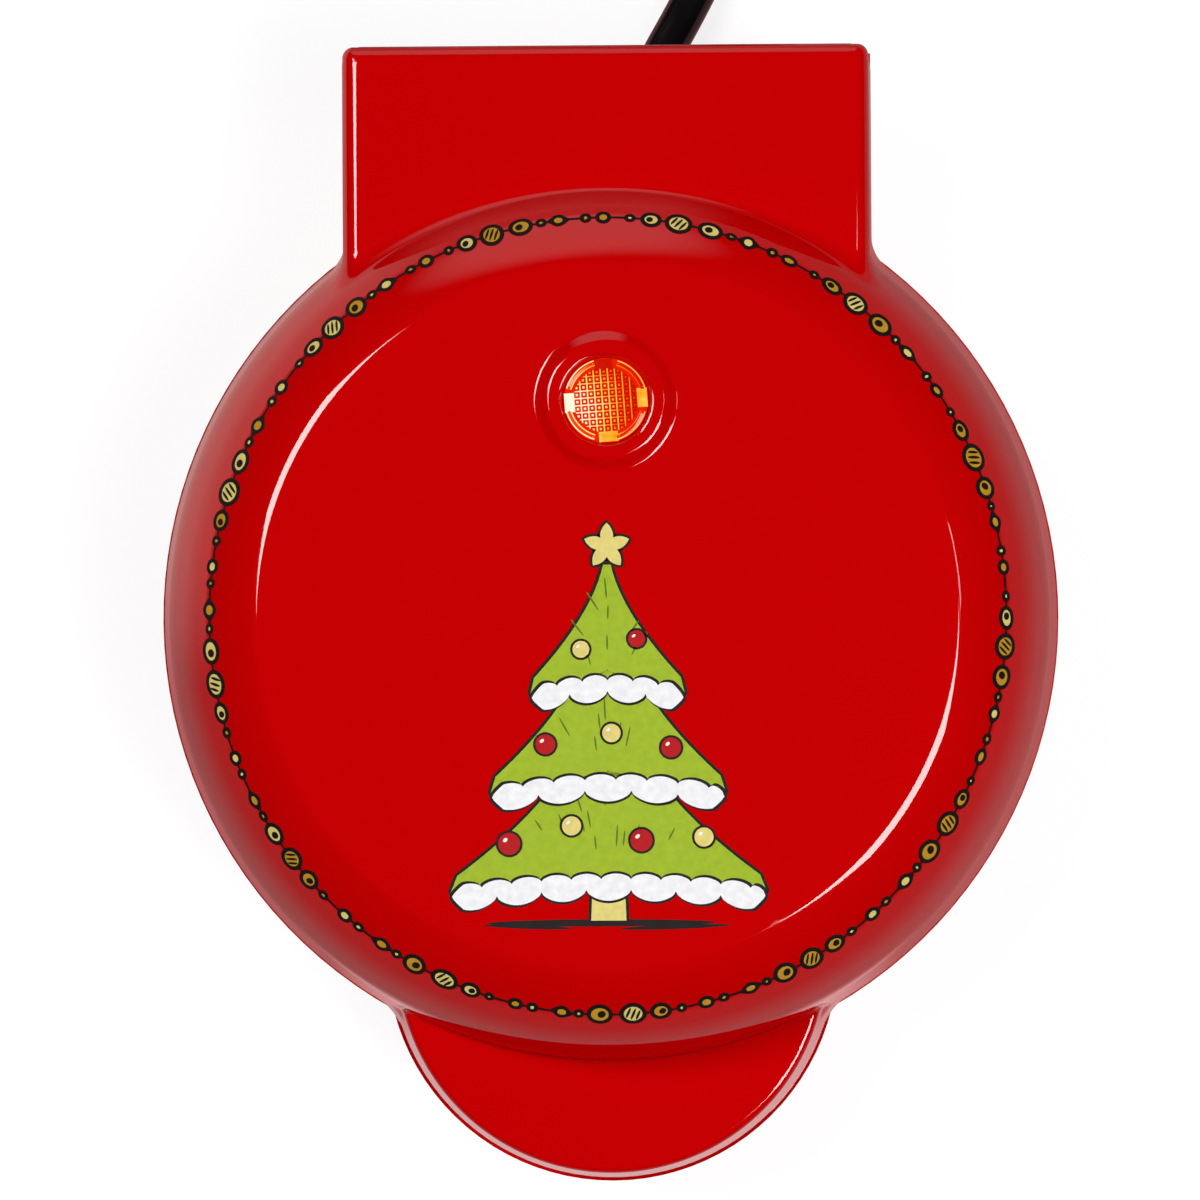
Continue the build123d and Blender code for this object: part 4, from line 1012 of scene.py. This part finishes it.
def lamp(name, turn, lean, width, length, level):
    """Area lamp of one radiance, lamp_distance from a point over the floor, at an angle lean from straight up
    towards turn. Its power is pi times its area times its level."""
    data = bpy.data.lights.new(name, "AREA")
    data.shape = "RECTANGLE"
    data.size, data.size_y = width, length
    data.energy = pi * width * length * level
    back = Vector((sin(lean) * cos(turn), sin(lean) * sin(turn), cos(lean)))
    side = Vector((cos(turn), sin(turn), 0))
    side = (side - back * side.dot(back)).normalized()
    light = bpy.data.objects.new(name, data)
    light.matrix_world = faced(back * lamp_distance + Vector((0, 0, 0.04)), back, side)
    bpy.context.scene.collection.objects.link(light)


def floor_with_painted_light(tree, where):
    """Floor as the glossy pieces reflect it, with painted light and shade: a painted shade and a painted red
    bounce close to them, paler further away, and painted pale patches at the front and towards the upper
    left."""
    maths = partial(calculated, tree)
    x, y, _ = separated(tree, where)

    def distance(v):
        """Distance of the place from (0, v)."""
        b = maths("SUBTRACT", y, v)
        return maths("SQRT", maths("ADD", maths("MULTIPLY", x, x), maths("MULTIPLY", b, b)))

    away = distance(0.0)
    # Painted patch of pale light on the floor in front of the tab
    ahead = maths("MULTIPLY", mapped(tree, distance(tab_centre * MM), 0.05, 0.065, 1.0, 0.0),
                  mapped(tree, y, -0.066, -0.054, 1.0, 0.0))
    # Painted pale patch to the upper left: cosine of the angle between its direction and the place's
    toward = maths("ADD", maths("MULTIPLY", x, cos(painted_light_side)), maths("MULTIPLY", y, sin(painted_light_side)))
    left = mapped(tree, maths("DIVIDE", toward, away), cos(radians(40)), cos(radians(12)), 0.0, 1.0,
                  "SMOOTHSTEP")
    # Strength of the painted light: lower further out, with the painted patches at the front and upper left
    level = maths("ADD", mapped(tree, away, 0.13, 0.3, 0.48, 0.29), maths("MULTIPLY", ahead, 0.5))
    level = maths("ADD", level, maths("MULTIPLY", left, mapped(tree, away, 0.07, 0.16, 0.08, 1.1)))
    # Painted shade and painted red bounce close to the machine, paler further away and at the front
    painted_shade = maths("MAXIMUM", mapped(tree, away, 0.068, 0.13, 0.0, 1.0), maths("MULTIPLY", ahead, 0.7))
    painted_red_tint = blended(tree, painted_shade, (1.0, 0.27, 0.27), (1.0, 0.78, 0.78))
    # Colour of the painted patch to the upper left, over the painted red tint
    mirrored = tree.nodes.new("ShaderNodeEmission")
    tree.links.new(blended(tree, left, painted_red_tint, (1.0, 0.48, 0.45)), mirrored.inputs["Color"])
    tree.links.new(level, mirrored.inputs["Strength"])
    return mirrored.outputs["Emission"]


def white_paper(tone):
    """White floor. It is lit as paper of the tone for other pieces, the camera sees it near white with the
    object's shadow, and the glossy pieces see the painted light and shade of floor_with_painted_light."""
    paper = bpy.data.materials.new("white_paper")
    paper.use_nodes = True
    tree = paper.node_tree
    tree.nodes.clear()
    out = tree.nodes.new("ShaderNodeOutputMaterial")
    where = tree.nodes.new("ShaderNodeTexCoord").outputs["Object"]
    lit = tree.nodes.new("ShaderNodeBsdfDiffuse")
    share = mapped(tree, noise(tree, where, 300, 3), 0.3, 0.7, 0, 1)
    tree.links.new(blended(tree, share, (tone,) * 3, (tone * 0.97,) * 3), lit.inputs["Color"])
    shown = tree.nodes.new("ShaderNodeBsdfDiffuse")
    shown.inputs["Color"].default_value = (0.25, 0.25, 0.25, 1)
    glow = tree.nodes.new("ShaderNodeEmission")
    glow.inputs["Strength"].default_value = 0.84
    both = tree.nodes.new("ShaderNodeAddShader")
    tree.links.new(shown.outputs["BSDF"], both.inputs[0])
    tree.links.new(glow.outputs["Emission"], both.inputs[1])
    path = tree.nodes.new("ShaderNodeLightPath").outputs
    reflected = calculated(tree, "MAXIMUM", path["Is Glossy Ray"], path["Is Transmission Ray"])
    below = mixed(tree, reflected, lit.outputs["BSDF"], floor_with_painted_light(tree, where))
    below = mixed(tree, path["Is Camera Ray"], below, both.outputs["Shader"])
    tree.links.new(below, out.inputs["Surface"])
    return paper


def white_room():
    """Surroundings: dark above the horizon, but for a soft pale patch low at the back. The camera sees a
    plain pale tone."""
    world = bpy.data.worlds.new("white_room")
    world.use_nodes = True
    tree = world.node_tree
    tree.nodes.clear()
    out = tree.nodes.new("ShaderNodeOutputWorld")
    way = tree.nodes.new("ShaderNodeTexCoord").outputs["Generated"]
    _, _, z = separated(tree, way)
    wall = mapped(tree, z, 0.0, 0.06, 0.25, 0.006, "SMOOTHSTEP")
    toward = tree.nodes.new("ShaderNodeVectorMath")
    toward.operation = "DOT_PRODUCT"
    tree.links.new(way, toward.inputs[0])
    toward.inputs[1].default_value = (-0.116, 0.944, 0.309)
    patch = mapped(tree, toward.outputs["Value"], 0.905, 0.98, 0.0, 0.9, "SMOOTHSTEP")
    room = tree.nodes.new("ShaderNodeBackground")
    tree.links.new(calculated(tree, "ADD", wall, patch), room.inputs["Strength"])
    plain = tree.nodes.new("ShaderNodeBackground")
    seen = tree.nodes.new("ShaderNodeLightPath").outputs["Is Camera Ray"]
    shown = mixed(tree, seen, room.outputs["Background"], plain.outputs["Background"])
    tree.links.new(shown, out.inputs["Surface"])
    return world


class WAFFLE_OT_stage(Operator):
    """Add the white floor, the lamps, the surroundings and the camera"""
    bl_idname = "waffle.stage"
    bl_label = "Stage"

    def execute(self, context):
        studio = context.scene.waffle_studio
        scene = context.scene
        mesh = bpy.data.meshes.new("floor")
        corners = [(-1, -1), (1, -1), (1, 1), (-1, 1)]
        mesh.from_pydata([(floor_half * x, floor_half * y, floor_z) for x, y in corners], [], [(0, 1, 2, 3)])
        mesh.materials.append(white_paper(studio.floor_tone))
        floor = bpy.data.objects.new("floor", mesh)
        scene.collection.objects.link(floor)
        scene.world = white_room()

        lamp("upper_left_lamp", radians(152), radians(25.5), 0.66, 0.34, studio.lamp_level)
        lamp("lower_right_lamp", radians(-31), radians(25.5), 0.76, 0.42, studio.lamp_level)
        lamp("right_strip", radians(9.5), radians(23), 0.13, 0.14, studio.lamp_level / 2)

        data = bpy.data.cameras.new("camera")
        data.lens = studio.lens
        data.sensor_width = 36
        data.clip_start, data.clip_end = 0.01, 20
        camera = bpy.data.objects.new("camera", data)
        place = Vector(studio.camera_place)
        back = (place - Vector(studio.camera_target)).normalized()
        camera.matrix_world = faced(place, back, Vector(studio.camera_up).cross(back).normalized())
        scene.collection.objects.link(camera)
        scene.camera = camera
        scene.view_settings.view_transform = "Standard"
        return {"FINISHED"}


class WAFFLE_PT_panel(Panel):
    """Lists the pieces of the waffle maker"""
    bl_idname = "WAFFLE_PT_panel"
    bl_label = "Waffle Maker"
    bl_space_type = "VIEW_3D"
    bl_region_type = "UI"
    bl_category = "Waffle Maker"

    def draw(self, context):
        for operator in operators:
            self.layout.operator(operator.bl_idname)
        for group in groups:
            box = self.layout.box()
            settings = getattr(context.scene, group)
            for name in settings.bl_rna.properties.keys():
                if name not in ("rna_type", "name"):
                    box.prop(settings, name)


groups = {"waffle_lid": LidSizes, "waffle_lens": LensSizes, "waffle_print": PrintColours,
          "waffle_finish": FinishColours, "waffle_studio": StudioSizes}
operators = (WAFFLE_OT_stage, WAFFLE_OT_lead, WAFFLE_OT_lid, WAFFLE_OT_lens, WAFFLE_OT_garland,
             WAFFLE_OT_tree, WAFFLE_OT_finishes)


def register():
    """Registers the classes and gives the scene its settings."""
    for kind in (*groups.values(), *operators, WAFFLE_PT_panel):
        bpy.utils.register_class(kind)
    for name, kind in groups.items():
        setattr(bpy.types.Scene, name, PointerProperty(type=kind))


def unregister():
    """Takes back what register did."""
    for name in groups:
        delattr(bpy.types.Scene, name)
    for kind in (WAFFLE_PT_panel, *reversed(operators), *reversed(groups.values())):
        bpy.utils.unregister_class(kind)


def main():
    """Makes every piece in order."""
    register()
    for make in (bpy.ops.waffle.stage, bpy.ops.waffle.lead, bpy.ops.waffle.lid, bpy.ops.waffle.lens,
                 bpy.ops.waffle.garland, bpy.ops.waffle.tree, bpy.ops.waffle.finishes):
        make()


if __name__ == "__main__":
    main()
